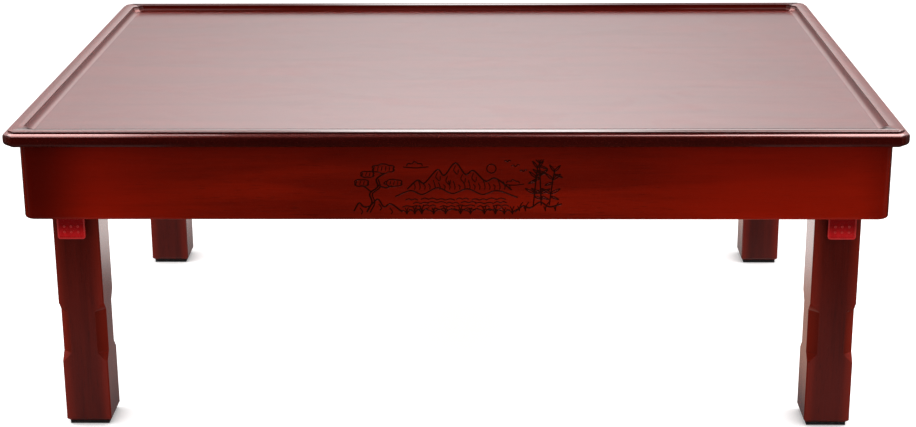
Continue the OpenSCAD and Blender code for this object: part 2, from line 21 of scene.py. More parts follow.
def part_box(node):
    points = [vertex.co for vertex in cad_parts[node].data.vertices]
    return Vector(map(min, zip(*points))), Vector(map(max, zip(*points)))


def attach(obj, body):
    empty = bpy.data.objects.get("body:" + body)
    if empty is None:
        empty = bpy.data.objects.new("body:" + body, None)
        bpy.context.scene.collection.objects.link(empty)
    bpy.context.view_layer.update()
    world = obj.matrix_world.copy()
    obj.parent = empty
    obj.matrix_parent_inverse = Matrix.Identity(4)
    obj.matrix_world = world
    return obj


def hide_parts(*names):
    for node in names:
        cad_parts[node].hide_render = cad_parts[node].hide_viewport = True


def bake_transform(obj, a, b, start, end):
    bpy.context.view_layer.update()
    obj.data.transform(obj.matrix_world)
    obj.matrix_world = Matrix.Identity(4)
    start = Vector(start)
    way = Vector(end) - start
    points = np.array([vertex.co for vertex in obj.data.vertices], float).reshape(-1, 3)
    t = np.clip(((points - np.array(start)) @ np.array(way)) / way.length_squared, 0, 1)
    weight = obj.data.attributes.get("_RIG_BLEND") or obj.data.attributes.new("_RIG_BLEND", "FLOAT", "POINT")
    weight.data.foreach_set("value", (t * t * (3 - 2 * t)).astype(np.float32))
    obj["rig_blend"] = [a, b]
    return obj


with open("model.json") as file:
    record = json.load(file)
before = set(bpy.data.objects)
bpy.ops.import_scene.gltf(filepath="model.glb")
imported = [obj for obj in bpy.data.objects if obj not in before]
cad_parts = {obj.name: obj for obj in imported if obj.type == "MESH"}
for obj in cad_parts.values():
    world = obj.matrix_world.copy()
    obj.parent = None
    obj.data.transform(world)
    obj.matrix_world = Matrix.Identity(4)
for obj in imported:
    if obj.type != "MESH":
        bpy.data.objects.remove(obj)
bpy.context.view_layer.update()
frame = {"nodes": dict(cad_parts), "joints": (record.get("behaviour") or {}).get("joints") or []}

LOG = logging.getLogger("tea_table")
MM = 0.001
ROOT = "table_top"

Colour = tuple[float, float, float]
Point = tuple[float, float]
Triple = tuple[float, float, float]
Socket = bpy.types.NodeSocket
Sockets = dict[str, bpy.types.NodeSocket]
Feed = bpy.types.NodeSocket | float | Sequence[float]
Mesh = bmesh.types.BMesh
Edge = bmesh.types.BMEdge
Spring = tuple[str, Vector, Vector]

BLACK: Colour = (0.0, 0.0, 0.0)
WHITE: Colour = (1.0, 1.0, 1.0)


class Grain(Enum):
    """Direction that the wood's fibres run, as the turn in degrees that lays them along X."""

    ALONG_X = (0.0, 0.0, 0.0)
    ALONG_Y = (0.0, 0.0, -90.0)
    ALONG_Z = (0.0, 90.0, 0.0)


class Corner(Enum):
    """The four corners, with the side of the table that each is on."""

    FRONT_LEFT = ("front_left", -1, -1)
    FRONT_RIGHT = ("front_right", 1, -1)
    BACK_LEFT = ("back_left", -1, 1)
    BACK_RIGHT = ("back_right", 1, 1)

    @property
    def label(self) -> str:
        """Name of the corner in the model's nodes and joints."""
        return self.value[0]

    @property
    def leg_body(self) -> str:
        """Body that the leg rides on."""
        return f"folding_leg_{self.label}"

    @property
    def lever_body(self) -> str:
        """Body that the release lever rides on."""
        return f"lever_{self.label}"

    def placement(self) -> Matrix:
        """Finds the corner's place from its folding joint.

        Returns:
            The matrix that takes a piece drawn for the front right leg to this corner. Pieces are drawn
            about the middle of the hinge pin, with the outward long face at -Y.
        """
        joint = next(j for j in frame["joints"] if j["name"] == f"leg_fold_{self.label}")
        _, x_side, y_side = self.value
        flip = Matrix.Diagonal((x_side, -y_side, 1.0, 1.0))
        return Matrix.Translation(joint["pos_m"]) @ flip


class Wall(Enum):
    """The four sides of the rim and the apron, with the way their wood runs."""

    FRONT = ("front", Grain.ALONG_X)
    BACK = ("back", Grain.ALONG_X)
    LEFT = ("left", Grain.ALONG_Y)
    RIGHT = ("right", Grain.ALONG_Y)

    @property
    def label(self) -> str:
        """Name of the side in the model's nodes."""
        return self.value[0]

    @property
    def grain(self) -> Grain:
        """Way that the fibres of this side's boards run."""
        return self.value[1]


# Nodes


class Ramp(NamedTuple):
    """A smooth change between two values, while what it reads goes from low to high."""

    low: float
    high: float
    to_low: float = 0.0
    to_high: float = 1.0


class Pattern(NamedTuple):
    """A noise: its waves in a metre along each axis, its octaves, its swirl and the part that shows."""

    waves: Triple
    octaves: float
    swirl: float = 0.0
    shows: Point | None = None


def rgba(colour: Sequence[float]) -> tuple[float, float, float, float]:
    """Returns a colour with full alpha."""
    return (colour[0], colour[1], colour[2], 1.0)


class Patch:
    """Short way to lay nodes in one tree and to join their sockets."""

    def __init__(self, tree: bpy.types.NodeTree) -> None:
        """Keeps the tree that the nodes go into."""
        self.tree = tree

    def add(self, kind: str, **settings: object) -> bpy.types.Node:
        """Adds a node and sets its properties.

        Args:
            kind: Blender's name of the node type, such as ShaderNodeMix.
            settings: properties of the node to set.

        Returns:
            The new node.
        """
        made = self.tree.nodes.new(kind)
        for key, value in settings.items():
            setattr(made, key, value)
        return made

    def join(self, source: Feed, target: Socket) -> None:
        """Feeds a socket.

        Args:
            source: a socket to link, or a plain value to set.
            target: the socket that is fed.
        """
        if isinstance(source, bpy.types.NodeSocket):
            self.tree.links.new(source, target)
        else:
            target.default_value = source

    @staticmethod
    def fill(node: bpy.types.Node, values: dict[str, float | Sequence[float]]) -> None:
        """Sets plain values on a node's own sockets.

        Args:
            node: the node.
            values: number, vector or colour of each socket, by the socket's name.
        """
        for label, value in values.items():
            socket = node.inputs[label]
            socket.default_value = rgba(value) if socket.type == "RGBA" else value

    def group(
        self, tree: bpy.types.NodeTree, vector: Socket, values: dict[str, float | Sequence[float]]
    ) -> Sockets:
        """Places a shared group with its own values.

        Args:
            tree: the shared group.
            vector: coordinates that its pattern follows.
            values: plain value of each other input.

        Returns:
            The group's outputs, by name.
        """
        made = self.add("ShaderNodeGroup", node_tree=tree)
        self.join(vector, made.inputs["Vector"])
        self.fill(made, values)
        return dict(made.outputs.items())

    def axes(self, space: str = "Object") -> Sockets:
        """Splits coordinates into their axes.

        Args:
            space: output of Texture Coordinate that is read.

        Returns:
            The sockets X, Y and Z.
        """
        apart = self.add("ShaderNodeSeparateXYZ")
        self.join(self.add("ShaderNodeTexCoord").outputs[space], apart.inputs[0])
        return dict(apart.outputs.items())

    def maths(self, operation: str, *values: Socket | float, clamp: bool = True) -> Socket:
        """Works out a sum of sockets and numbers.

        Args:
            operation: Blender's name of the sum, such as MULTIPLY_ADD.
            values: what it is made of, in the node's order.
            clamp: keeps the result from 0 to 1.

        Returns:
            The result.
        """
        made = self.add("ShaderNodeMath", operation=operation, use_clamp=clamp)
        for value, target in zip(values, made.inputs, strict=False):
            self.join(value, target)
        return made.outputs[0]

    def times(self, *values: Socket | float, clamp: bool = True) -> Socket:
        """Returns the product of two values, kept from 0 to 1 unless told otherwise."""
        return self.maths("MULTIPLY", *values, clamp=clamp)

    def scaled(self, vector: Socket, scale: Feed) -> Socket:
        """Multiplies a vector axis by axis.

        Args:
            vector: the vector, or a number for all three axes.
            scale: factor of each axis.

        Returns:
            The scaled vector.
        """
        made = self.add("ShaderNodeVectorMath", operation="MULTIPLY")
        self.join(vector, made.inputs[0])
        self.join(scale, made.inputs[1])
        return made.outputs[0]

    def noise(self, vector: Socket, pattern: Pattern) -> Socket:
        """Lays a noise.

        Args:
            vector: coordinates that it follows, in metres.
            pattern: what it looks like.

        Returns:
            The noise, from 0 to 1.
        """
        made = self.add("ShaderNodeTexNoise")
        self.fill(made, {"Scale": 1.0, "Detail": pattern.octaves, "Distortion": pattern.swirl})
        self.join(self.scaled(vector, pattern.waves), made.inputs["Vector"])
        strength = made.outputs["Fac"]
        return self.ranged(strength, *pattern.shows) if pattern.shows else strength

    def ranged(
        self, value: Socket, low: float, high: float, to_low: float = 0.0, to_high: float = 1.0
    ) -> Socket:
        """Takes a value smoothly from one range to another.

        Args:
            value: what is read.
            low: start of the range that is read.
            high: its end.
            to_low: result at the start and before it.
            to_high: result at the end and after it.

        Returns:
            The result.
        """
        made = self.add("ShaderNodeMapRange", interpolation_type="SMOOTHSTEP")
        self.join(value, made.inputs["Value"])
        self.fill(made, {"From Min": low, "From Max": high, "To Min": to_low, "To Max": to_high})
        return made.outputs["Result"]

    def mixed(self, factor: Feed, first: Feed, second: Feed) -> Socket:
        """Mixes two colours.

        Args:
            factor: 0 for the first colour, 1 for the second.
            first: a colour, or a socket that gives one.
            second: the same for the other colour.

        Returns:
            The mixed colour.
        """
        made = self.add("ShaderNodeMix", data_type="RGBA")
        self.join(factor, made.inputs["Factor"])
        for source, target in ((first, made.inputs[6]), (second, made.inputs[7])):
            self.join(source if isinstance(source, bpy.types.NodeSocket) else rgba(source), target)
        return made.outputs[2]

    def blended(self, factor: Socket, first: bpy.types.Node, second: bpy.types.Node) -> bpy.types.Node:
        """Mixes two shaders.

        Args:
            factor: 0 for the first shader, 1 for the second.
            first: a shader's node.
            second: the other shader's node.

        Returns:
            The node that mixes them.
        """
        made = self.add("ShaderNodeMixShader")
        for source, target in zip((factor, first.outputs[0], second.outputs[0]), made.inputs, strict=True):
            self.join(source, target)
        return made

    def rays(self) -> Sockets:
        """Tells the kinds of ray apart.

        Returns:
            The outputs of Light Path, and Seen for what the eye sees, through glass too.
        """
        kinds = dict(self.add("ShaderNodeLightPath").outputs.items())
        seen = self.maths("MAXIMUM", kinds["Is Camera Ray"], kinds["Is Transmission Ray"])
        return {**kinds, "Seen": seen}


def shared_group(
    name: str,
    inputs: Iterable[tuple[str, str]],
    outputs: Iterable[tuple[str, str]],
    fill: Callable[[Patch, Sockets, Sockets], None],
) -> bpy.types.NodeTree:
    """Builds a shader node group once and hands back the same one afterwards.

    Args:
        name: the group's name.
        inputs: name and kind of each input: Vector, Color or Float.
        outputs: name and kind of each output.
        fill: function that lays the nodes, from the input sockets to the output sockets.

    Returns:
        The node group.
    """
    if name in bpy.data.node_groups:
        return bpy.data.node_groups[name]
    tree = bpy.data.node_groups.new(name, "ShaderNodeTree")
    for way, sockets in (("INPUT", inputs), ("OUTPUT", outputs)):
        for label, kind in sockets:
            tree.interface.new_socket(name=label, in_out=way, socket_type=f"NodeSocket{kind}")
    patch = Patch(tree)
    entry = patch.add("NodeGroupInput")
    leave = patch.add("NodeGroupOutput")
    fill(patch, dict(entry.outputs.items()), dict(leave.inputs.items()))
    return tree


# Patterns, with the waves along the grain or the drawing first, then across it

STREAKS = Pattern((3.5, 42.0, 42.0), octaves=4.0, swirl=0.6, shows=(0.3, 0.7))
FIBRES = Pattern((22.0, 700.0, 700.0), octaves=2.0)
TONE_DRIFT = Pattern((5.0, 9.0, 9.0), octaves=2.0)
PORES = Pattern((70.0, 1500.0, 1500.0), octaves=1.0, shows=(0.62, 0.72))
ORANGE_PEEL = Pattern((320.0, 320.0, 320.0), octaves=1.0)
SMEARS = Pattern((9.0, 14.0, 11.0), octaves=3.0, swirl=0.8, shows=(0.45, 0.7))
SPECKS = Pattern((1300.0, 1300.0, 1300.0), octaves=0.0, shows=(0.7, 0.78))
DRAWN_LINES = Pattern((60.0, 2200.0, 2200.0), octaves=2.0)
SPANGLE = Pattern((420.0, 420.0, 420.0), octaves=2.0)
DULL_PATCHES = Pattern((40.0, 40.0, 40.0), octaves=3.0, shows=(0.5, 0.75))
FLOW_MARKS = Pattern((120.0, 120.0, 60.0), octaves=2.0, swirl=1.5, shows=(0.3, 0.7))
SCUFFS = Pattern((180.0, 180.0, 400.0), octaves=3.0, shows=(0.5, 0.8))

# Shares that the patterns have in a surface's tone, roughness and height

STREAK_TONE, DRIFT_TONE = 0.55, 0.45
FIBRE_TONE, FIBRE_MIDDLE = 0.5, 0.35
DARKEST_TONE = 0.12
FIBRE_HEIGHT, BASE_HEIGHT = 0.4, 0.6
SPECK_ROUGHNESS, DULL_ROUGHNESS = 0.15, 0.2
SPANGLE_TONE, LINE_TONE = 0.6, 0.4
SPANGLE_HEIGHT, LINE_HEIGHT = 0.5, 0.5


def lay_stained_grain(patch: Patch, given: Sockets, out: Sockets) -> None:
    """Lays stained wood: broad streaks, fine fibres, short pores and a cloudy drift of tone.

    Args:
        patch: the group's tree.
        given: the group's inputs.
        out: the group's outputs.
    """
    along = given["Vector"]
    fibre, pore = patch.noise(along, FIBRES), patch.noise(along, PORES)
    drift = patch.times(patch.noise(along, TONE_DRIFT), DRIFT_TONE)
    tone = patch.maths("MULTIPLY_ADD", patch.noise(along, STREAKS), STREAK_TONE, drift)
    tone = patch.maths("MULTIPLY_ADD", patch.maths("SUBTRACT", fibre, FIBRE_MIDDLE), FIBRE_TONE, tone)
    tone = patch.times(patch.maths("SUBTRACT", tone, DARKEST_TONE), given["Figure"])
    stained = patch.mixed(tone, given["Ground"], given["Streaks"])
    shade = patch.times(pore, given["Pores"])
    patch.join(patch.mixed(shade, stained, given["Pore Colour"]), out["Color"])
    base = patch.maths("SUBTRACT", BASE_HEIGHT, pore)
    patch.join(patch.maths("MULTIPLY_ADD", fibre, FIBRE_HEIGHT, base), out["Height"])


def stained_grain() -> bpy.types.NodeTree:
    """Makes the group for stained or bare wood, whose fibres run along its vector's X.

    Returns:
        The group.
    """
    colours = (("Ground", "Color"), ("Streaks", "Color"), ("Pore Colour", "Color"))
    given = (("Vector", "Vector"), *colours, ("Figure", "Float"), ("Pores", "Float"))
    return shared_group("stained_grain", given, (("Color", "Color"), ("Height", "Float")), lay_stained_grain)


def lay_film(patch: Patch, given: Sockets, out: Sockets) -> None:
    """Lays the film of a sprayed or moulded surface: orange peel, faint smears and fine dust.

    Args:
        patch: the group's tree.
        given: the group's inputs.
        out: the group's outputs.
    """
    place = given["Vector"]
    wiped = patch.times(patch.noise(place, SMEARS), given["Smears"])
    rough = patch.maths("ADD", given["Roughness"], wiped)
    speck = patch.noise(place, SPECKS)
    patch.join(patch.maths("MULTIPLY_ADD", speck, SPECK_ROUGHNESS, rough), out["Roughness"])
    patch.join(patch.noise(place, ORANGE_PEEL), out["Height"])
    patch.join(patch.times(speck, given["Dust"]), out["Dust"])


def surface_film() -> bpy.types.NodeTree:
    """Makes the group for what lies on a surface: its roughness, its dust and its small waves.

    Returns:
        The group.
    """
    given = (("Vector", "Vector"), ("Roughness", "Float"), ("Smears", "Float"), ("Dust", "Float"))
    out = (("Roughness", "Float"), ("Height", "Float"), ("Dust", "Float"))
    return shared_group("surface_film", given, out, lay_film)


def lay_drawn_metal(patch: Patch, given: Sockets, out: Sockets) -> None:
    """Lays rolled and plated metal: fine drawn lines, plating spangle and dull patches.

    Args:
        patch: the group's tree.
        given: the group's inputs.
        out: the group's outputs.
    """
    place = given["Vector"]
    lines, spangle = patch.noise(place, DRAWN_LINES), patch.noise(place, SPANGLE)
    tone = patch.maths("MULTIPLY_ADD", spangle, SPANGLE_TONE, patch.times(lines, LINE_TONE))
    patch.join(patch.mixed(tone, given["Dark"], given["Light"]), out["Color"])
    dull = patch.noise(place, DULL_PATCHES)
    patch.join(patch.maths("MULTIPLY_ADD", dull, DULL_ROUGHNESS, given["Roughness"]), out["Roughness"])
    raised = patch.times(spangle, SPANGLE_HEIGHT)
    patch.join(patch.maths("MULTIPLY_ADD", lines, LINE_HEIGHT, raised), out["Height"])


def drawn_metal() -> bpy.types.NodeTree:
    """Makes the group for plated, spring and drawn metal.

    Returns:
        The group.
    """
    given = (("Vector", "Vector"), ("Dark", "Color"), ("Light", "Color"), ("Roughness", "Float"))
    out = (("Color", "Color"), ("Roughness", "Float"), ("Height", "Float"))
    return shared_group("drawn_metal", given, out, lay_drawn_metal)


# Finishes


@dataclass(frozen=True)
class Finish:
    """What every finish has: its name, its slot and the way to place its pattern."""

    name: str
    slot: str

    def build(self) -> bpy.types.Material:
        """Builds the material once.

        Returns:
            The material.
        """
        if self.name in bpy.data.materials:
            return bpy.data.materials[self.name]
        made = bpy.data.materials.new(self.name)
        made.use_nodes = True
        self.lay(Patch(made.node_tree), made.node_tree.nodes["Principled BSDF"])
        return made

    def lay(self, patch: Patch, shader: bpy.types.Node) -> None:
        """Lays this finish's nodes in front of the shader."""
        raise NotImplementedError

    @staticmethod
    def place(
        patch: Patch, grain: Grain = Grain.ALONG_X, shift: Sequence[float] = (0.0, 0.0, 0.0)
    ) -> Socket:
        """Lays the piece's own coordinates, turned so that the grain runs along X.

        Args:
            patch: the material's tree.
            grain: way that the fibres run.
            shift: moves the pattern, in metres, so that no two boards are alike.

        Returns:
            The coordinates.
        """
        mapping = patch.add("ShaderNodeMapping")
        patch.fill(mapping, {"Rotation": [math.radians(a) for a in grain.value], "Location": shift})
        patch.join(patch.add("ShaderNodeTexCoord").outputs["Object"], mapping.inputs["Vector"])
        return mapping.outputs["Vector"]

    @staticmethod
    def raise_by(patch: Patch, shader: bpy.types.Node, layers: Sequence[tuple[Socket, float]]) -> None:
        """Feeds the shader's normal from bumps, one on the other.

        Args:
            patch: the material's tree.
            shader: the shader whose normal is fed.
            layers: height and strength of each bump.
        """
        normal = None
        for height, strength in layers:
            bump = patch.add("ShaderNodeBump")
            patch.fill(bump, {"Strength": strength, "Distance": MM})
            patch.join(height, bump.inputs["Height"])
            if normal is not None:
                patch.join(normal, bump.inputs["Normal"])
            normal = bump.outputs["Normal"]
        patch.join(normal, shader.inputs["Normal"])


@dataclass(frozen=True)
class Shading:
    """Painted light or shade, darker or lighter towards an edge, along one axis of the piece."""

    axis: str
    middle: float
    start: float
    stop: float
    strength: float
    colour: Colour

    def over(self, patch: Patch, colour: Socket) -> Socket:
        """Paints the light or shade, more of it as the distance from the middle grows from start to stop.

        Args:
            patch: the material's tree.
            colour: what the light or shade is painted over.

        Returns:
            The shaded colour.
        """
        away = patch.maths("SUBTRACT", patch.axes()[self.axis], self.middle, clamp=False)
        share = patch.ranged(patch.maths("ABSOLUTE", away), self.start, self.stop, 0.0, self.strength)
        return patch.mixed(share, colour, self.colour)


@dataclass(frozen=True)
class FilmedFinish(Finish):
    """A finish under a film of smears and dust."""

    roughness: float = 0.5
    smears: float = 0.1
    dust: float = 0.1

    def film(self, patch: Patch, shader: bpy.types.Node, place: Socket) -> Sockets:
        """Lays the film and feeds the shader's roughness from it.

        Args:
            patch: the material's tree.
            shader: the material's shader.
            place: coordinates that the film follows.

        Returns:
            The outputs of the film, by name.
        """
        given = {"Roughness": self.roughness, "Smears": self.smears, "Dust": self.dust}
        film = patch.group(surface_film(), place, given)
        patch.join(film["Roughness"], shader.inputs["Roughness"])
        return film


@dataclass(frozen=True)
class Wood(FilmedFinish):
    """What every wood has: a ground with streaks and pores, and a way that its grain runs."""

    ground: Colour = (0.2, 0.1, 0.05)
    streaks: Colour = (0.4, 0.2, 0.1)
    pore: Colour = (0.1, 0.05, 0.02)
    grain: Grain = Grain.ALONG_X
    shift: Triple = (0.0, 0.0, 0.0)
    figure: float = 1.0
    pores: float = 0.35

    def figured(self, patch: Patch, place: Socket) -> Sockets:
        """Lays the grain.

        Args:
            patch: the material's tree.
            place: coordinates that the grain follows.

        Returns:
            The outputs of the grain, by name.
        """
        stain = {"Ground": self.ground, "Streaks": self.streaks, "Pore Colour": self.pore}
        return patch.group(stained_grain(), place, {**stain, "Figure": self.figure, "Pores": self.pores})


@dataclass(frozen=True)
class LacqueredWood(Wood):
    """Stained wood under a clear sprayed lacquer."""

    ground: Colour = (0.06, 0.004, 0.002)
    streaks: Colour = (0.13, 0.008, 0.003)
    pore: Colour = (0.02, 0.003, 0.0015)
    arris: Colour = (0.2, 0.02, 0.01)
    cut_stain: Colour = (0.012, 0.004, 0.002)
    dust_tone: Colour = (0.5, 0.47, 0.44)
    worn: float = 0.6
    roughness: float = 0.34
    specular: float = 0.05
    tint: Colour = (1.0, 1.0, 1.0)
    coat: float = 1.0
    coat_roughness: float = 0.1
    smears: float = 0.05
    dust: float = 0.012
    fibre_relief: float = 0.04
    peel_relief: float = 0.03
    carved: bool = False
    cut_shade: Ramp = Ramp(0.1, 0.45, 0.0, 0.9)
    cut_coat: Point = (0.25, 0.04)
    dulled: float = 1.0
    dulled_over: Point = (0.05, 0.24)
    shading: tuple[Shading, ...] = ()

    def lay(self, patch: Patch, shader: bpy.types.Node) -> None:
        """Lays grain, painted light and shade, thin lacquer on the arrises, stain in the carving and the
        clear coat.

        Args:
            patch: the material's tree.
            shader: the material's shader.
        """
        place = self.place(patch, self.grain, self.shift)
        wood, film = self.figured(patch, place), self.film(patch, shader, place)
        colour = wood["Color"]
        # Painted light and shade over the grain's colour.
        for light_or_shade in self.shading:
            colour = light_or_shade.over(patch, colour)
        thin = patch.add("ShaderNodeAttribute", attribute_name="arris").outputs["Fac"]
        colour = patch.mixed(patch.times(thin, self.worn), colour, self.arris)
        plain = {"Specular IOR Level": self.specular, "Specular Tint": self.tint, "Coat Weight": self.coat}
        patch.fill(shader, {**plain, "Coat Roughness": self.coat_roughness})
        if self.carved:
            cut = patch.add("ShaderNodeAttribute", attribute_name="groove").outputs["Fac"]
            colour = patch.mixed(patch.ranged(cut, *self.cut_shade), colour, self.cut_stain)
            reach, left = self.cut_coat
            patch.join(patch.ranged(cut, 0.0, reach, self.coat, left), shader.inputs["Coat Weight"])
        if self.dulled < 1.0:
            away = patch.maths("ABSOLUTE", patch.axes()["X"])
            thinned = patch.ranged(away, *self.dulled_over, self.coat, self.coat * self.dulled)
            patch.join(thinned, shader.inputs["Coat Weight"])
        patch.join(patch.mixed(film["Dust"], colour, self.dust_tone), shader.inputs["Base Color"])
        layers = ((wood["Height"], self.fibre_relief), (film["Height"], self.peel_relief))
        self.raise_by(patch, shader, layers)


@dataclass(frozen=True)
class BareWood(Wood):
    """Planed softwood with no lacquer, as it is under the top: pale, with darker streaks."""

    ground: Colour = (0.56, 0.37, 0.2)
    streaks: Colour = (0.36, 0.2, 0.095)
    pore: Colour = (0.2, 0.1, 0.05)
    grain: Grain = Grain.ALONG_Y
    figure: float = 1.1
    pores: float = 0.3
    roughness: float = 0.62
    specular: float = 0.3
    smears: float = 0.1
    dust: float = 0.1
    fibre_relief: float = 0.25

    def lay(self, patch: Patch, shader: bpy.types.Node) -> None:
        """Lays the grain and a dry, fibrous surface.

        Args:
            patch: the material's tree.
            shader: the material's shader.
        """
        place = self.place(patch, self.grain, self.shift)
        wood = self.figured(patch, place)
        self.film(patch, shader, place)
        patch.join(wood["Color"], shader.inputs["Base Color"])
        patch.fill(shader, {"Specular IOR Level": self.specular})
        self.raise_by(patch, shader, ((wood["Height"], self.fibre_relief),))


@dataclass(frozen=True)
class Metal(Finish):
    """Plated or drawn metal."""

    dark: Colour = (0.42, 0.43, 0.44)
    light: Colour = (0.66, 0.67, 0.68)
    roughness: float = 0.28
    relief: float = 0.05

    def lay(self, patch: Patch, shader: bpy.types.Node) -> None:
        """Lays drawn lines and spangle under a metal shader.

        Args:
            patch: the material's tree.
            shader: the material's shader.
        """
        given = {"Dark": self.dark, "Light": self.light, "Roughness": self.roughness}
        metal = patch.group(drawn_metal(), self.place(patch), given)
        patch.join(metal["Color"], shader.inputs["Base Color"])
        patch.join(metal["Roughness"], shader.inputs["Roughness"])
        patch.fill(shader, {"Metallic": 1.0})
        self.raise_by(patch, shader, ((metal["Height"], self.relief),))


@dataclass(frozen=True)
class MouldedPlastic(FilmedFinish):
    """Glossy moulded plastic that lets a little light in."""

    colour: Colour = (0.75, 0.01, 0.014)
    deep: Colour = (0.62, 0.007, 0.009)
    # Painted highlight colour, the occlusion range and reach that place it, and its share on the rounded
    # arrises.
    proud: Colour = (0.95, 0.12, 0.11)
    proud_over: Ramp = Ramp(0.5, 0.95, 0.5, 0.0)
    proud_reach: float = 1.2 * MM
    edge_glow: float = 0.35
    roughness: float = 0.16
    smears: float = 0.06
    dust: float = 0.05
    peel_relief: float = 0.04
    spread: float = 0.25
    spread_colour: Colour = (1.0, 0.1, 0.08)
    spread_depth: float = 1.5 * MM
    # Painted shade at the top of the lever, where the apron shadows it.
    shading: tuple[Shading, ...] = (
        Shading("Z", middle=0.21, start=0.004, stop=0.017, strength=0.85, colour=(0.2, 0.0006, 0.0006)),
    )

    def lay(self, patch: Patch, shader: bpy.types.Node) -> None:
        """Lays the moulded colour, its flow marks, painted shade at its top, painted highlights on its edges
        and bumps, and the light that spreads inside it.

        Args:
            patch: the material's tree.
            shader: the material's shader.
        """
        place = self.place(patch)
        film = self.film(patch, shader, place)
        colour = patch.mixed(patch.noise(place, FLOW_MARKS), self.deep, self.colour)
        # Painted shade at the lever's top.
        for light_or_shade in self.shading:
            colour = light_or_shade.over(patch, colour)
        # Painted highlights on the convex edges and bumps, found by ambient occlusion from inside.
        near_by = patch.add("ShaderNodeAmbientOcclusion", samples=8, inside=True, only_local=True)
        patch.fill(near_by, {"Distance": self.proud_reach})
        colour = patch.mixed(patch.ranged(near_by.outputs["AO"], *self.proud_over), colour, self.proud)
        # Painted highlight on the rounded arrises.
        edge = patch.add("ShaderNodeAttribute", attribute_name="arris").outputs["Fac"]
        colour = patch.mixed(patch.times(edge, self.edge_glow), colour, self.proud)
        patch.join(colour, shader.inputs["Base Color"])
        inner = {"Subsurface Weight": self.spread, "Subsurface Scale": self.spread_depth}
        patch.fill(shader, {**inner, "Subsurface Radius": self.spread_colour})
        self.raise_by(patch, shader, ((film["Height"], self.peel_relief),))


@dataclass(frozen=True)
class Rubber(FilmedFinish):
    """Black moulded rubber, matt, greyed a little by scuffs and dust."""

    black: Colour = (0.008, 0.008, 0.009)
    scuffed: Colour = (0.035, 0.034, 0.034)
    dust_tone: Colour = (0.3, 0.28, 0.26)
    roughness: float = 0.62
    smears: float = 0.2
    dust: float = 0.25
    pebble_relief: float = 0.3
    scuff_relief: float = 0.1

    def lay(self, patch: Patch, shader: bpy.types.Node) -> None:
        """Lays black rubber with scuffs and a pebbled skin.

        Args:
            patch: the material's tree.
            shader: the material's shader.
        """
        place = self.place(patch)
        film, scuff = self.film(patch, shader, place), patch.noise(place, SCUFFS)
        colour = patch.mixed(scuff, self.black, self.scuffed)
        patch.join(patch.mixed(film["Dust"], colour, self.dust_tone), shader.inputs["Base Color"])
        self.raise_by(patch, shader, ((film["Height"], self.pebble_relief), (scuff, self.scuff_relief)))


# Shaping: the welds are in metres, and faces that meet at less than FLAT_WITHIN degrees are one

SAME_PLACE = 0.001 * MM
NODE_WELD = 0.002 * MM
FLAT_WITHIN = 0.4
TURN_STEPS = 40


def merged_copy(node: str) -> Mesh:
    """Copies a node's mesh, with its loose triangles joined into whole faces.

    Args:
        node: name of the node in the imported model.

    Returns:
        A new bmesh, in the table's own frame.
    """
    bm = bmesh.new()
    bm.from_mesh(frame["nodes"][node].data)
    bmesh.ops.remove_doubles(bm, verts=bm.verts, dist=NODE_WELD)
    flat = math.radians(FLAT_WITHIN)
    bmesh.ops.dissolve_limit(
        bm, angle_limit=flat, use_dissolve_boundaries=False, verts=bm.verts, edges=bm.edges
    )
    return bm


def sharp_edges(bm: Mesh, angle: float, shortest: float) -> list[Edge]:
    """Finds the edges whose faces meet sharply.

    Args:
        bm: the mesh.
        angle: least angle between the two faces, in degrees.
        shortest: edges up to this length are left out, in metres.

    Returns:
        The edges.
    """
    limit = math.radians(angle)
    long_enough = (e for e in bm.edges if e.is_manifold and e.calc_length() > shortest)
    return [e for e in long_enough if e.calc_face_angle(0.0) > limit]


def rounded(bm: Mesh, edges: list[Edge], radius: float, segments: int) -> list[bmesh.types.BMFace]:
    """Rounds edges.

    Args:
        bm: the mesh.
        edges: the edges to round.
        radius: width of the rounding, in metres.
        segments: faces across the rounding.

    Returns:
        The new faces.
    """
    made = bmesh.ops.bevel(
        bm,
        geom=edges,
        offset=radius,
        offset_type="OFFSET",
        segments=segments,
        profile=0.5,
        affect="EDGES",
        clamp_overlap=True,
        material=-1,
    )
    return made["faces"]


def ease(bm: Mesh, width: float, segments: int = 2, angle: float = 35.0, shortest: float = 0.0) -> None:
    """Rounds the sharp arrises and marks the new faces, where lacquer lies thin.

    Args:
        bm: the mesh to round.
        width: width of the rounding, in metres.
        segments: faces across the rounding.
        angle: least angle between two faces for their edge to be rounded, in degrees.
        shortest: edges up to this length are left as they are, in metres.
    """
    mark = bm.loops.layers.float.new("arris")
    for face in rounded(bm, sharp_edges(bm, angle, shortest), width, segments):
        for loop in face.loops:
            loop[mark] = 1.0


def carried(bm: Mesh, corner: Corner) -> Mesh:
    """Takes a piece drawn for the front right leg to its corner and turns its faces outwards.

    Args:
        bm: the piece, which is moved itself.
        corner: where it goes.

    Returns:
        The same piece.
    """
    matrix = corner.placement()
    bmesh.ops.transform(bm, matrix=matrix, verts=bm.verts)
    if matrix.determinant() < 0:
        bmesh.ops.reverse_faces(bm, faces=bm.faces)
    return bm


def joined(parts: Iterable[Mesh]) -> Mesh:
    """Puts several parts in one bmesh.

    Args:
        parts: the parts, which are freed.

    Returns:
        The whole.
    """
    whole = bmesh.new()
    for part in parts:
        shell = bpy.data.meshes.new("shell")
        part.to_mesh(shell)
        part.free()
        whole.from_mesh(shell)
        bpy.data.meshes.remove(shell)
    return whole


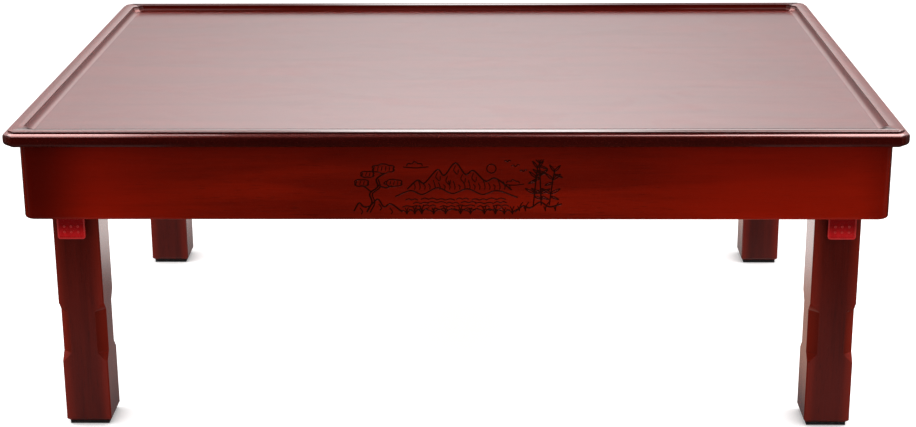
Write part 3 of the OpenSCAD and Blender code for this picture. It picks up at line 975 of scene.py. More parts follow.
def turned(
    profile: Sequence[Point], centre: Vector, axis: Vector, steps: int = TURN_STEPS, tube: bool = False
) -> Mesh:
    """Spins a profile about an axis into a turned piece.

    Args:
        profile: points as (distance along the axis, radius).
        centre: the axis's start.
        axis: direction of the axis, of length one.
        steps: faces round the piece.
        tube: joins the profile's two ends to each other, where a solid piece has them on the axis.

    Returns:
        The turned piece, with its normals outwards.
    """
    side = axis.orthogonal().normalized()
    bm = bmesh.new()
    verts = [bm.verts.new(centre + axis * along + side * radius) for along, radius in profile]
    following = verts[1:] + verts[:1] if tube else verts[1:]
    edges = [bm.edges.new(pair) for pair in zip(verts, following, strict=False)]
    bmesh.ops.spin(
        bm,
        geom=verts + edges,
        cent=centre,
        axis=axis,
        dvec=(0, 0, 0),
        angle=math.tau,
        steps=steps,
        use_merge=True,
    )
    bmesh.ops.remove_doubles(bm, verts=bm.verts, dist=SAME_PLACE)
    bmesh.ops.recalc_face_normals(bm, faces=bm.faces)
    return bm


def block(low: Vector, high: Vector) -> Mesh:
    """Makes a box.

    Args:
        low: its corner of least X, Y and Z.
        high: the corner across from it.

    Returns:
        The box.
    """
    bm = bmesh.new()
    matrix = Matrix.Translation((low + high) / 2) @ Matrix.Diagonal((*(high - low), 1.0))
    bmesh.ops.create_cube(bm, size=1.0, matrix=matrix)
    return bm


def finished(
    bm: Mesh,
    name: str,
    finish: Finish,
    body: str,
    nodes: Sequence[str],
    smooth_under: float = 40.0,
    spring: Spring | None = None,
) -> None:
    """Turns a bmesh into a piece of the table, dressed and riding on its body.

    Args:
        bm: the shape, in the table's own frame; it is freed.
        name: the piece's name.
        finish: what it is dressed in.
        body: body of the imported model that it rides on.
        nodes: nodes that it stands for.
        smooth_under: faces that meet at less than this angle in degrees shade as one surface.
        spring: for a piece that bends, the body that pushes its free end, and where the bend
            starts and ends.
    """
    mesh = bpy.data.meshes.new(name)
    bm.to_mesh(mesh)
    bm.free()
    if "custom_normal" in mesh.attributes:
        mesh.attributes.remove(mesh.attributes["custom_normal"])
    mesh.shade_smooth()
    mesh.set_sharp_from_angle(angle=math.radians(smooth_under))
    piece = bpy.data.objects.new(name, mesh)
    bpy.context.scene.collection.objects.link(piece)
    mesh.materials.append(finish.build())
    even = piece.modifiers.new("even_shading", "WEIGHTED_NORMAL")
    even.keep_sharp = True
    if spring is None:
        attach(piece, body)
    else:
        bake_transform(piece, body, *spring)
    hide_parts(*nodes)
    LOG.info("%s: %d faces in %s on %s", name, len(mesh.polygons), finish.name, body)


def dressed_node(node: str, finish: Finish) -> None:
    """Gives its material to a node that keeps its own shape.

    Args:
        node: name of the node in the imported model.
        finish: what it is dressed in.
    """
    kept = frame["nodes"][node]
    kept.data.materials.clear()
    kept.data.materials.append(finish.build())
    LOG.info("%s: kept, in %s", node, finish.name)


# Carving: strokes are in millimetres from its middle, u to the right and v up


@dataclass(frozen=True)
class Stroke:
    """One cut of the carving tool."""

    points: tuple[Point, ...]
    width: float = 1.3
    depth: float = 0.85
    closed: bool = False

    def course(self, step: int = 6) -> np.ndarray:
        """Draws a smooth curve through the stroke's own points.

        Args:
            step: points on the curve for each of the stroke's own.

        Returns:
            The curve's points.
        """
        own = [np.array(p, float) for p in self.points]
        if self.closed:
            own = [own[-1], *own, own[0], own[1]]
        elif len(own) > 2:
            own = [2 * own[0] - own[1], *own, 2 * own[-1] - own[-2]]
        else:
            return np.array(own)
        line = []
        for a, b, c, d in zip(own, own[1:], own[2:], own[3:], strict=False):
            for t in np.arange(step) / step:
                bend = (2 * a - 5 * b + 4 * c - d) * t**2 + (3 * b - a - 3 * c + d) * t**3
                line.append(0.5 * (2 * b + (c - a) * t + bend))
        line.append(own[-2])
        return np.array(line)


def ring(u: float, v: float, radius: float, count: int = 10) -> tuple[Point, ...]:
    """Returns points round a circle."""
    turns = [math.tau * i / count for i in range(count)]
    return tuple((u + radius * math.cos(t), v + radius * math.sin(t)) for t in turns)


def needle_crown(u: float, v: float, wide: float, high: float, lobes: int) -> list[Stroke]:
    """Draws a pine's flat crown.

    Args:
        u: middle of the crown, across.
        v: middle of the crown, upwards.
        wide: its width.
        high: its height.
        lobes: scallops round its outline, and needle cuts inside it.

    Returns:
        The outline and the needle cuts.
    """
    outline = []
    for i in range(lobes * 4):
        turn = math.tau * i / (lobes * 4)
        swell = 0.82 + 0.18 * abs(math.sin(lobes * turn / 2))
        outline.append((u + wide / 2 * swell * math.cos(turn), v + high / 2 * swell * math.sin(turn)))
    cuts = [Stroke(tuple(outline), width=1.1, closed=True)]
    for i in range(lobes):
        root = u - wide / 2 + wide * (i + 0.6) / (lobes + 0.2)
        needle = ((root, v - high * 0.2), (root + 0.8, v + high * 0.22))
        cuts.append(Stroke(needle, width=0.9, depth=0.6))
    return cuts


def bamboo_leaf(u: float, v: float, turn: float, length: float) -> Stroke:
    """Draws a slim leaf.

    Args:
        u: its stalk, across.
        v: its stalk, upwards.
        turn: way that it points, in degrees from the right.
        length: its length.

    Returns:
        The leaf's outline.
    """
    way = np.array([math.cos(math.radians(turn)), math.sin(math.radians(turn))])
    spread = length * 0.11 * np.array([-way[1], way[0]])
    root = np.array([u, v])
    widest = root + way * length * 0.4
    outline = (root, widest + spread, root + way * length, widest - spread)
    return Stroke(tuple((float(p[0]), float(p[1])) for p in outline), width=1.0, closed=True)


def ripple(u: float, v: float, length: float) -> Stroke:
    """Returns one low wave on the water."""
    points = tuple((u + (i - 2) * length / 4, v + (0.9 if i % 2 else -0.3)) for i in range(5))
    return Stroke(points, width=1.1, depth=0.7)


def bird(u: float, v: float, span: float) -> Stroke:
    """Returns a far bird, two bent wings."""
    shape = ((-0.5, 0.12), (-0.225, 0.22), (0.0, 0.0), (0.25, 0.26), (0.5, 0.2))
    return Stroke(tuple((u + x * span, v + y * span) for x, y in shape), width=1.0)


def tuft(u: float, v: float, high: float) -> list[Stroke]:
    """Draws a tuft of reeds: four blades that fan out from one root.

    Args:
        u: the root, across.
        v: the root, upwards.
        high: height of the tallest blade.

    Returns:
        The blades.
    """
    cuts = []
    for lean, up in ((-0.7, 0.62), (-0.25, 0.95), (0.2, 1.0), (0.75, 0.7)):
        bend = (u + lean * high * 0.3, v + up * high * 0.6)
        cuts.append(Stroke(((u, v), bend, (u + lean * high, v + up * high)), width=1.0))
    return cuts


def cloud(u: float, v: float, wide: float) -> list[Stroke]:
    """Draws a rolled cloud: three puffs over a trailing line.

    Args:
        u: middle of the cloud, across.
        v: its flat underside, upwards.
        wide: width of the puffs.

    Returns:
        The puffs and the line.
    """
    shape = ((-0.5, 0), (-0.42, 0.14), (-0.2, 0.12), (-0.05, 0.26), (0.16, 0.14), (0.36, 0.12), (0.42, 0))
    puffs = tuple((u + x * wide, v + y * wide) for x, y in shape)
    trail = ((u - wide * 0.7, v - 1.4), (u, v - 2.2), (u + wide * 0.75, v - 1.2))
    return [Stroke(puffs, width=1.0), Stroke(trail, width=1.0)]


def hills() -> list[Stroke]:
    """Draws the peaks with their gullies, the foothills, the moon and the grass at the water's edge.

    Returns:
        The strokes.
    """
    peaks = ((-50, -1), (-40, 8), (-33, 5), (-20, 19), (-13, 13), (-2, 26), (8, 14), (16, 18))
    slope = ((28, 7), (38, 10), (54, -2))
    foothills = ((-62, -9), (-47, -3), (-35, -7), (-20, 0), (-5, -6), (10, -1), (25, -7), (40, -3), (60, -10))
    cuts = [Stroke((*peaks, *slope), width=1.5, depth=0.9), Stroke(foothills, width=1.4)]
    for u, v in ((-2, 23), (-20, 16), (16, 15), (5, 14), (-10, 12)):
        cuts.append(Stroke(((u, v), (u - 1.5, v - 5), (u + 1.8, v - 9)), width=1.0, depth=0.6))
        cuts.append(Stroke(((u + 3, v - 4), (u + 2.6, v - 8)), width=0.9, depth=0.6))
    cuts.append(Stroke(ring(34, 20, 4.6), width=1.1, closed=True))
    for i, u in enumerate(range(-44, 52, 5)):
        fall = 4 + 2.5 * math.sin(1.9 * i)
        cuts.append(Stroke(((u, 1.5 + fall), (u + 1.6, 1.5), (u + 1.2, -1.5)), width=1.0, depth=0.6))
    return cuts


def water() -> list[Stroke]:
    """Draws four rows of ripples and the reeds on the near shore.

    Returns:
        The strokes.
    """
    cuts = []
    for row, (start, stop, gap) in enumerate(((-46, 54, 17), (-40, 52, 16), (-46, 54, 18), (-38, 46, 17))):
        v = -12.5 - 3.6 * row
        for i, u in enumerate(range(start, stop, gap)):
            cuts.append(ripple(u + 3 * (row % 2), v + 0.8 * (i % 2), 12 + 3 * ((i + row) % 3)))
    for i, u in enumerate((-51, -43, -36, -24, -12, 3, 13, 27, 38, 47, 55)):
        cuts += tuft(u, -27.5, 6.5 + 1.5 * (i % 3))
    return cuts


def pine_on_rocks() -> list[Stroke]:
    """Draws the bent pine with its crowns, and the rocks that it grows from.

    Returns:
        The strokes.
    """
    trunk = ((-91, -25), (-86, -15), (-88, -6), (-80, 1), (-81, 9), (-73, 15))
    bark = tuple((u + 3.2 - 0.3 * i, v - 0.6) for i, (u, v) in enumerate(trunk[:-1]))
    cuts = [Stroke(trunk, width=1.7, depth=1.0), Stroke(bark, width=1.3)]
    for branch in (((-87, -4), (-93, 1), (-97, 2)), ((-80, 3), (-72, 0), (-66, 2))):
        cuts.append(Stroke(branch, width=1.4))
    for crown in ((-96, 5, 16, 8, 4), (-64, 5, 19, 8, 5), (-74, 20, 24, 10, 6), (-90, 14, 15, 7, 4)):
        cuts += needle_crown(*crown)
    rocks = ((-104, -24), (-99, -16), (-94, -20), (-88, -19), (-80, -12), (-74, -20), (-67, -17), (-56, -25))
    cuts.append(Stroke(rocks, width=1.6, depth=0.95))
    for u, v in ((-98, -21), (-79, -17), (-68, -21)):
        cuts.append(Stroke(((u, v), (u + 2.4, v - 4), (u + 1.2, v - 6.5)), width=1.1, depth=0.7))
    return cuts


def bamboo_on_bank() -> list[Stroke]:
    """Draws three stalks of bamboo with their leaves, and the grassy bank.

    Returns:
        The strokes.
    """
    bank = ((58, -25), (66, -19), (73, -21), (83, -15), (92, -20), (104, -17))
    cuts = [Stroke(bank, width=1.6, depth=0.95)]
    for foot, top, lean in ((76, 21, 4), (84, 26, -2), (92, 17, 5)):
        stalk = ((foot, -18), (foot + lean * 0.3, -6), (foot + lean * 0.7, top * 0.5), (foot + lean, top))
        cuts.append(Stroke(stalk, width=1.3))
        for i, (u, v) in enumerate(stalk[1:]):
            for turn in (150 - 12 * i, 28 + 10 * i):
                cuts.append(bamboo_leaf(u, v, turn, 10.5 - i))
            cuts.append(bamboo_leaf(u, v - 3, 200 if i % 2 else -22, 8.5))
    for u in (62, 68, 88, 98):
        cuts.append(Stroke(((u, -24), (u + 1, -19), (u + 3.2, -15.5)), width=1.1))
        cuts.append(Stroke(((u + 0.5, -24), (u - 1.5, -19.5)), width=1.0))
    return cuts


def landscape() -> list[Stroke]:
    """Draws the carved scene: peaks over water, a pine on rocks, bamboo, clouds and birds.

    Returns:
        The strokes.
    """
    birds = [bird(58, 22, 8), bird(66, 17, 6.5), bird(50, 27, 6)]
    sky = [*birds, *cloud(-42, 23, 17), *cloud(56, 5, 14)]
    return [*hills(), *water(), *pine_on_rocks(), *bamboo_on_bank(), *sky]


@dataclass(frozen=True)
class Carving:
    """A shallow carved panel in the middle of the front apron."""

    half_width: float = 107 * MM
    half_height: float = 30 * MM
    rise: float = 34 * MM
    shift: float = 3 * MM
    pitch: float = 0.5 * MM
    weld: float = 0.02 * MM
    stain_reach: float = 1.25

    def cut_into(self, bm: Mesh, face_y: float, low_z: float) -> None:
        """Replaces a rectangle of the board's face by a fine sheet with the strokes cut into it.

        Args:
            bm: the apron board.
            face_y: Y of the board's outer face.
            low_z: Z of the board's lower edge.
        """
        bm.verts.layers.float.new("groove")
        middle = Vector((self.shift, face_y, low_z + self.rise))
        for half in (Vector((self.half_width, 0, 0)), Vector((0, 0, self.half_height))):
            for place in (middle + half, middle - half):
                whole, across = bm.verts[:] + bm.edges[:] + bm.faces[:], half.normalized()
                bmesh.ops.bisect_plane(bm, geom=whole, dist=SAME_PLACE, plane_co=place, plane_no=across)
        window = min(bm.faces, key=lambda f: (f.calc_center_median() - middle).length)
        columns, rows = round(2 * self.half_width / self.pitch), round(2 * self.half_height / self.pitch)
        level = [e for e in window.edges if abs(e.verts[0].co.z - e.verts[1].co.z) < self.pitch]
        upright = [e for e in window.edges if e not in level]
        bmesh.ops.delete(bm, geom=[window], context="FACES_ONLY")
        bmesh.ops.subdivide_edges(bm, edges=level, cuts=columns - 1)
        bmesh.ops.subdivide_edges(bm, edges=upright, cuts=rows - 1)
        turn = Matrix.Rotation(math.radians(90), 4, "X")
        scale = Matrix.Diagonal((self.half_width, self.half_height, 1, 1))
        matrix = Matrix.Translation(middle) @ turn @ scale
        sheet = bmesh.ops.create_grid(bm, x_segments=columns, y_segments=rows, size=1.0, matrix=matrix)
        self.press(bm, sheet["verts"], middle)
        bmesh.ops.remove_doubles(bm, verts=bm.verts, dist=self.weld)

    def press(self, bm: Mesh, verts: list[bmesh.types.BMVert], middle: Vector) -> None:
        """Presses the strokes into the sheet and stores how dark the stain lies at each point.

        Args:
            bm: the apron board.
            verts: the sheet's points.
            middle: middle of the sheet.
        """
        mark = bm.verts.layers.float["groove"]
        places = np.array([((v.co.x - middle.x) / MM, (v.co.z - middle.z) / MM) for v in verts])
        sunk, shade = np.zeros(len(verts)), np.zeros(len(verts))
        for stroke in landscape():
            line = stroke.course()
            start, stop = line.min(0) - stroke.width, line.max(0) + stroke.width
            near = np.all((places > start) & (places < stop), axis=1)
            if not near.any():
                continue
            gap = self.distance(places[near], line) / (stroke.width / 2)
            share = np.clip(1 - gap, 0, 1)
            sunk[near] = np.maximum(sunk[near], stroke.depth * np.sin(share * math.pi / 2))
            shade[near] = np.maximum(shade[near], np.clip(self.stain_reach - gap, 0, 1))
        sides = np.array((self.half_width, self.half_height)) / MM
        fade = np.clip(np.min(sides - np.abs(places), axis=1), 0, 1)
        for vert, depth, tone in zip(verts, sunk * fade, shade * fade, strict=True):
            vert.co.y += float(depth) * MM
            vert[mark] = float(tone)

    @staticmethod
    def distance(places: np.ndarray, line: np.ndarray) -> np.ndarray:
        """Measures how far each place is from a line.

        Args:
            places: the places.
            line: the line's points.

        Returns:
            The distance of each place.
        """
        best = np.full(len(places), np.inf)
        for start, stop in zip(line, line[1:], strict=False):
            way = stop - start
            along = np.clip(((places - start) @ way) / max(float(way @ way), 1e-9), 0, 1)
            best = np.minimum(best, np.linalg.norm(places - start - along[:, None] * way, axis=1))
        return best


# Sub-assemblies


@dataclass
class Tabletop:
    """The panel and the four mitred mouldings round it."""

    arris: float = 0.25 * MM
    panel: LacqueredWood = LacqueredWood(
        "panel_lacquer",
        "top_lacquer",
        ground=(0.092, 0.006, 0.004),
        streaks=(0.155, 0.012, 0.008),
        roughness=0.3,
        coat_roughness=0.17,
        specular=0.5,
        tint=(1.0, 0.75, 0.75),
    )
    moulding: LacqueredWood = LacqueredWood(
        "rim_lacquer",
        "rim_lacquer",
        ground=(0.032, 0.0015, 0.0008),
        streaks=(0.07, 0.003, 0.0012),
        arris=(0.08, 0.004, 0.002),
        roughness=0.2,
        coat_roughness=0.07,
        tint=(1.0, 0.4, 0.36),
    )

    def moulding_finish(self, wall: Wall) -> LacqueredWood:
        """Chooses the dark red lacquer of one moulding: softer at the sides, dull at the back.

        Args:
            wall: side that the moulding is on.

        Returns:
            The finish.
        """
        own = replace(self.moulding, name=f"rim_lacquer_{wall.label}", grain=wall.grain)
        if wall is Wall.FRONT:
            return replace(own, specular=0.5)
        if wall is Wall.BACK:
            return replace(own, dulled=0.12)
        soft = replace(own, roughness=0.4, coat_roughness=0.3, coat=0.6)
        return replace(soft, specular=0.8, tint=(1.0, 0.58, 0.55))

    def build(self) -> None:
        """Shapes the mouldings and dresses the panel."""
        dressed_node("top_panel", self.panel)
        for wall in Wall:
            node = f"rim_{wall.label}"
            bm = merged_copy(node)
            ease(bm, self.arris, angle=28.0)
            finish = self.moulding_finish(wall)
            finished(bm, f"{wall.label}_rim_moulding", finish, ROOT, [node], smooth_under=30.0)


@dataclass
class Apron:
    """The four apron boards, the front one carved, and the glue blocks in their corners."""

    arris: float = 0.5 * MM
    # Painted shade for the top and the ends of each board, and painted light for stretches of it.
    shade: Colour = (0.045, 0.0018, 0.0005)
    glow: Colour = (0.55, 0.012, 0.001)
    carving: Carving = Carving()
    board: LacqueredWood = LacqueredWood(
        "apron_lacquer",
        "apron_lacquer",
        ground=(0.15, 0.005, 0.0008),
        streaks=(0.33, 0.011, 0.0015),
        arris=(0.34, 0.02, 0.006),
        specular=0.0,
        coat=0.75,
    )
    glue_block: BareWood = BareWood("glue_block_wood", "bare_wood", grain=Grain.ALONG_Z)

    def board_finish(self, wall: Wall) -> LacqueredWood:
        """Chooses the warm red lacquer of one board, with painted light on stretches of it and painted shade
        at its top and its ends.

        Args:
            wall: side that the board is on.

        Returns:
            The finish.
        """
        _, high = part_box(f"apron_{wall.label}")
        along, end = ("X", high.x) if wall.grain is Grain.ALONG_X else ("Y", high.y)
        shade = self.shade
        # Painted light on stretches of the board, and painted shade at its top under the rim and at its ends.
        painted_light_and_shade = (
            Shading(along, middle=-0.04, start=0.45 * end, stop=0.8 * end, strength=0.35, colour=self.glow),
            Shading("Z", middle=high.z - 0.085, start=0.01, stop=0.1, strength=0.45, colour=shade),
            Shading(along, middle=0.022, start=end - 0.06, stop=end + 0.01, strength=0.8, colour=shade),
        )
        own = replace(self.board, name=f"apron_lacquer_{wall.label}", grain=wall.grain)
        return replace(own, carved=wall is Wall.FRONT, shading=painted_light_and_shade)

    def build(self) -> None:
        """Shapes the boards and blocks."""
        for wall in Wall:
            node = f"apron_{wall.label}"
            bm = merged_copy(node)
            ease(bm, self.arris, angle=40.0)
            if wall is Wall.FRONT:
                low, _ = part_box(node)
                self.carving.cut_into(bm, low.y, low.z)
            finish = self.board_finish(wall)
            finished(bm, f"{wall.label}_apron_board", finish, ROOT, [node], smooth_under=50.0)
        for corner in Corner:
            node = f"corner_block_{corner.label}"
            bm = merged_copy(node)
            ease(bm, self.arris)
            finished(bm, f"{corner.label}_glue_block", self.glue_block, ROOT, [node])


@dataclass(frozen=True)
class Screw:
    """A screw with a cross recess.

    Its arm and slot are shares of the head's width. The recess's floor is recess_taper of its mouth
    and lies recess_depth of the head's rise below it. The tip's radius is a share of the shank.
    """

    head: float
    shank: float
    length: float
    rise: float
    sunk: bool
    arm: float = 0.36
    slot: float = 0.13
    recess_taper: float = 0.6
    recess_depth: float = 0.8
    tip: float = 0.12
    facets: int = 24

    def shape(self) -> Mesh:
        """Shapes the screw.

        Returns:
            The screw, with its head's face at Z = 0 and its point at +Z.
        """
        bm = bmesh.new()
        rim = bmesh.ops.create_circle(bm, segments=self.facets, radius=self.head / 2)["verts"]
        cross = [bm.verts.new((x * self.head, y * self.head, 0.0)) for x, y in self.cross_points()]
        star = [bm.edges.new((a, b)) for a, b in zip(cross, cross[1:] + cross[:1], strict=True)]
        outer = list({e for v in rim for e in v.link_edges})
        bmesh.ops.bridge_loops(bm, edges=outer + star)
        sink = bmesh.ops.extrude_edge_only(bm, edges=star)
        floor = [g for g in sink["geom"] if isinstance(g, bmesh.types.BMVert)]
        for vert in floor:
            flat = vert.co * self.recess_taper
            vert.co = Vector((flat.x, flat.y, self.rise * self.recess_depth))
        bmesh.ops.contextual_create(bm, geom=[e for e in bm.edges if all(v in floor for v in e.verts)])
        for radius, z in self.body_rings():
            grown = bmesh.ops.extrude_edge_only(bm, edges=outer)
            verts = [g for g in grown["geom"] if isinstance(g, bmesh.types.BMVert)]
            outer = [g for g in grown["geom"] if isinstance(g, bmesh.types.BMEdge)]
            for vert in verts:
                flat = Vector((vert.co.x, vert.co.y, 0)).normalized() * radius
                vert.co = Vector((flat.x, flat.y, z))
        bmesh.ops.contextual_create(bm, geom=outer)
        bmesh.ops.recalc_face_normals(bm, faces=bm.faces)
        return bm

    def cross_points(self) -> list[Point]:
        """Finds the twelve corners of the cross recess.

        Returns:
            The corners in order, as shares of the head.
        """
        points = []
        half = self.slot / 2
        for quarter in range(4):
            turn = math.radians(90 * quarter)
            for x, y in ((self.arm, -half), (self.arm, half), (half, half)):
                across = x * math.cos(turn) - y * math.sin(turn)
                points.append((across, x * math.sin(turn) + y * math.cos(turn)))
        return points

    def body_rings(self) -> list[tuple[float, float]]:
        """Finds the rings behind the head's face.

        Returns:
            Radius and height of each ring.
        """
        shank = self.shank / 2
        neck = [(shank, self.rise)] if self.sunk else [(self.head / 2, self.rise), (shank, self.rise)]
        return [*neck, (shank, self.length - self.shank), (self.shank * self.tip, self.length)]

    def driven(self, places: Iterable[Matrix]) -> Mesh:
        """Drives in a group of screws.

        Args:
            places: matrix of each screw.

        Returns:
            All the screws, in one mesh.
        """
        parts = []
        for place in places:
            part = self.shape()
            bmesh.ops.transform(part, matrix=place, verts=part.verts)
            parts.append(part)
        return joined(parts)


@dataclass
class Underframe:
    """The hinge boards, the battens and the screws under the top."""

    arris: float = 0.4 * MM
    boards: tuple[str, ...] = ("hinge_board_left", "hinge_board_right", "batten_left", "batten_right")
    board_shift: Triple = (0.31, 0.07, 0.0)
    zinc: Metal = Metal("zinc_screws", "zinc_steel", light=(0.74, 0.74, 0.72), roughness=0.3)
    plate_screw: Screw = Screw(head=7 * MM, shank=3.5 * MM, length=9.5 * MM, rise=1.75 * MM, sunk=True)
    board_screw_length: float = 13 * MM
    screw_turn: float = 37.0

    def screw_places(self, node: str) -> list[Vector]:
        """Finds the screws in a node that holds many of them.

        Args:
            node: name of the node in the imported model.

        Returns:
            Middle of each screw's head.
        """
        bm = merged_copy(node)
        low = min(v.co.z for v in bm.verts)
        places: list[list[Vector]] = []
        for co in (v.co for v in bm.verts if v.co.z < low + 0.2 * self.plate_screw.rise):
            group = next((g for g in places if (g[0] - co).length < 2 * self.plate_screw.head), None)
            if group is None:
                places.append([co])
            else:
                group.append(co)
        found = [sum(g, Vector()) / len(g) for g in places]
        bm.free()
        return found

    def screws(self, node: str, name: str, kind: Screw) -> None:
        """Builds one group of screws, heads down.

        Args:
            node: the node that they stand for.
            name: name of the piece.
            kind: the screw.
        """
        places = []
        for index, place in enumerate(self.screw_places(node)):
            turn = Matrix.Rotation(math.radians(self.screw_turn * index), 4, "Z")
            places.append(Matrix.Translation(place) @ turn)
        finished(kind.driven(places), name, self.zinc, ROOT, [node])

    def build(self) -> None:
        """Shapes the boards, battens and screws."""
        for index, node in enumerate(self.boards):
            bm = merged_copy(node)
            ease(bm, self.arris, segments=1, angle=60.0, shortest=5 * MM)
            shift = tuple(step * index for step in self.board_shift)
            wood = BareWood(f"underframe_wood_{index}", "bare_wood", shift=shift)
            finished(bm, f"{node}_planed", wood, ROOT, [node])
        self.screws("hinge_screws", "hinge_plate_screws", self.plate_screw)
        board_screw = replace(self.plate_screw, length=self.board_screw_length)
        self.screws("frame_screws", "board_and_batten_screws", board_screw)


@dataclass(frozen=True)
class Rivet:
    """A pin with the same low domed head at both ends.

    The dome is a list of steps outwards from its flat crown: how far below the crown each one is, in
    metres, and its share of the head's radius.
    """

    pin: float
    head: float
    reach: float
    rise: float
    dome: tuple[Point, ...]
    steps: int = TURN_STEPS

    def shape(self, centre: Vector, axis: Vector) -> Mesh:
        """Turns the rivet.

        Args:
            centre: middle of the pin.
            axis: direction of the pin, of length one.

        Returns:
            The rivet.
        """
        top = self.reach + self.rise
        crown = ((down - top, share * self.head / 2) for down, share in self.dome)
        half = ((-top, 0.0), *crown, (-self.reach, self.head / 2), (-self.reach, self.pin / 2))
        other = ((-along, radius) for along, radius in reversed(half))
        return turned((*half, *other), centre, axis, self.steps)


@dataclass
class FoldingLeg:
    """One leg with its hinge, catch and release lever, drawn about the hinge pin."""

    corner: Corner
    half: float = 23.75 * MM
    arris: float = 0.6 * MM
    # Painted light towards the leg's sides, and painted shade towards its top, stronger on the left legs.
    lit_arris: Colour = (0.32, 0.018, 0.006)
    foot_shade: Colour = (0.05, 0.003, 0.0012)
    left_foot_fade: float = 0.45
    right_foot_fade: float = 0.1
    grain_step: Point = (0.4, 0.13)
    grain_lift: float = 0.05
    pad_round: float = 0.8 * MM
    pad_border: float = 4 * MM
    pad_between: float = 3 * MM
    groove_side: float = 0.5 * MM
    groove_floor: float = 1.4 * MM
    groove_depth: float = 0.7 * MM
    hinge_rivet: Rivet = Rivet(
        pin=8 * MM,
        head=12 * MM,
        reach=26.15 * MM,
        rise=2 * MM,
        dome=((0.0, 0.45), (0.5 * MM, 0.8), (1.3 * MM, 1.0)),
    )
    bush: float = 12.06 * MM
    bush_play: float = 0.06 * MM
    leaf_held: float = 36 * MM
    leaf_pushed: float = 28 * MM
    saddle_arris: float = 0.2 * MM
    saddle_screw: Screw = Screw(head=5.6 * MM, shank=3 * MM, length=16.3 * MM, rise=1.3 * MM, sunk=False)
    saddle_screw_side: float = 15 * MM
    saddle_screw_out: float = 3.3 * MM
    saddle_screw_drop: float = 43.5 * MM
    saddle_screw_turns: Point = (20.0, 70.0)
    lever_arris: float = 0.3 * MM
    lever_rivet: Rivet = Rivet(
        pin=3 * MM,
        head=4.2 * MM,
        reach=11.5 * MM,
        rise=0.8 * MM,
        dome=((0.0, 0.7), (0.3 * MM, 1.0)),
        steps=28,
    )
    lever_out: float = 4.2 * MM
    lever_drop: float = 37 * MM
    zinc: Metal = Metal("zinc_plate", "zinc_steel")
    rivet: Metal = Metal("rivet_steel", "zinc_steel", light=(0.78, 0.78, 0.77), roughness=0.2)
    spring: Metal = Metal("spring_leaf", "spring_steel", dark=(0.16, 0.17, 0.19), light=(0.34, 0.35, 0.38))
    brass: Metal = Metal("bush_brass", "bush_brass", dark=(0.5, 0.34, 0.12), light=(0.72, 0.54, 0.24))
    rubber: Rubber = Rubber("foot_rubber", "black_rubber")
    plastic: MouldedPlastic = MouldedPlastic("lever_plastic", "red_plastic")

    @property
    def wood(self) -> LacqueredWood:
        """The leg's dark lacquer, with its own stretch of grain, painted light towards its sides and painted
        shade towards its top.

        Returns:
            The finish.
        """
        index = list(Corner).index(self.corner)
        middle, half = self.corner.placement().translation, self.half
        fade = self.left_foot_fade if middle.x < 0 else self.right_foot_fade
        return LacqueredWood(
            f"leg_lacquer_{self.corner.label}",
            "leg_lacquer",
            streaks=(0.145, 0.009, 0.004),
            grain=Grain.ALONG_Z,
            shift=(*(step * index for step in self.grain_step), self.grain_lift),
            figure=1.2,
            coat_roughness=0.12,
            # Painted light towards the sides, and painted shade towards the top.
            shading=(
                Shading("X", middle.x, start=0.45 * half, stop=half, strength=0.65, colour=self.lit_arris),
                Shading("Z", 0.0, start=0.1, stop=middle.z, strength=fade, colour=self.foot_shade),
            ),
        )

    def dress(
        self,
        bm: Mesh,
        part: str,
        name: str,
        finish: Finish,
        body: str = "",
        smooth_under: float = 40.0,
        spring: Spring | None = None,
    ) -> None:
        """Finishes one of this corner's pieces.

        Args:
            bm: its shape, in the table's own frame.
            part: the node that it stands for, without the corner.
            name: the piece's name, without the corner.
            finish: what it is dressed in.
            body: body that it rides on, the leg's where none is named.
            smooth_under: faces that meet at less than this angle in degrees shade as one surface.
            spring: for a piece that bends, the body that pushes its free end, and where the bend
                starts and ends.
        """
        rides = body or self.corner.leg_body
        piece = f"{self.corner.label}_{name}"
        finished(bm, piece, finish, rides, [self.node(part)], smooth_under, spring)

    def node(self, part: str) -> str:
        """Returns the name of this corner's node of a part."""
        return f"{part}_{self.corner.label}"

    def build(self) -> None:
        """Shapes and dresses every piece of the leg."""
        self.shaft()
        self.foot()
        self.hinge()
        self.catch()
        self.lever()

    def shaft(self) -> None:
        """Rounds the arrises of the square leg and of its carved stop chamfers."""
        bm = merged_copy(self.node("leg"))
        ease(bm, self.arris, angle=20.0, shortest=3 * MM)
        self.dress(bm, "leg", "square_leg", self.wood, smooth_under=25.0)

    def foot(self) -> None:
        """Moulds the rubber pad, with rounded sides and a tread of two square grooves."""
        bm = block(*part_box(self.node("foot_pad")))
        bm.normal_update()
        sole = min(bm.faces, key=lambda f: f.normal.z)
        posts = [e for e in bm.edges if abs(e.verts[0].co.z - e.verts[1].co.z) > SAME_PLACE]
        outer = posts + list(sole.edges)
        side, sink = self.groove_side, self.groove_depth
        groove = ((side, sink), (self.groove_floor, 0.0), (side, -sink))
        for step, depth in ((self.pad_border, 0.0), *groove, (self.pad_between, 0.0), *groove):
            bmesh.ops.inset_region(bm, faces=[sole], thickness=step, depth=0.0, use_even_offset=True)
            for vert in sole.verts:
                vert.co.z += depth
        rounded(bm, outer, self.pad_round, 3)
        self.dress(bm, "foot_pad", "foot_pad", self.rubber)

    def hinge(self) -> None:
        """Shapes the bracket, the riveted pin and its bush."""
        bm = merged_copy(self.node("hinge_bracket"))
        self.dress(bm, "hinge_bracket", "hinge_plate", self.zinc, ROOT, smooth_under=35.0)
        along = Vector((0, 1, 0))
        pin = self.hinge_rivet.shape(Vector(), along)
        self.dress(carried(pin, self.corner), "hinge_pin", "hinge_rivet", self.rivet, ROOT)
        bore, wall = self.hinge_rivet.pin / 2 + self.bush_play, self.bush / 2
        section = ((-self.half, bore), (self.half, bore), (self.half, wall), (-self.half, wall))
        bush = turned(section, Vector(), along, tube=True)
        self.dress(carried(bush, self.corner), "leg_bush", "pin_bush", self.brass)

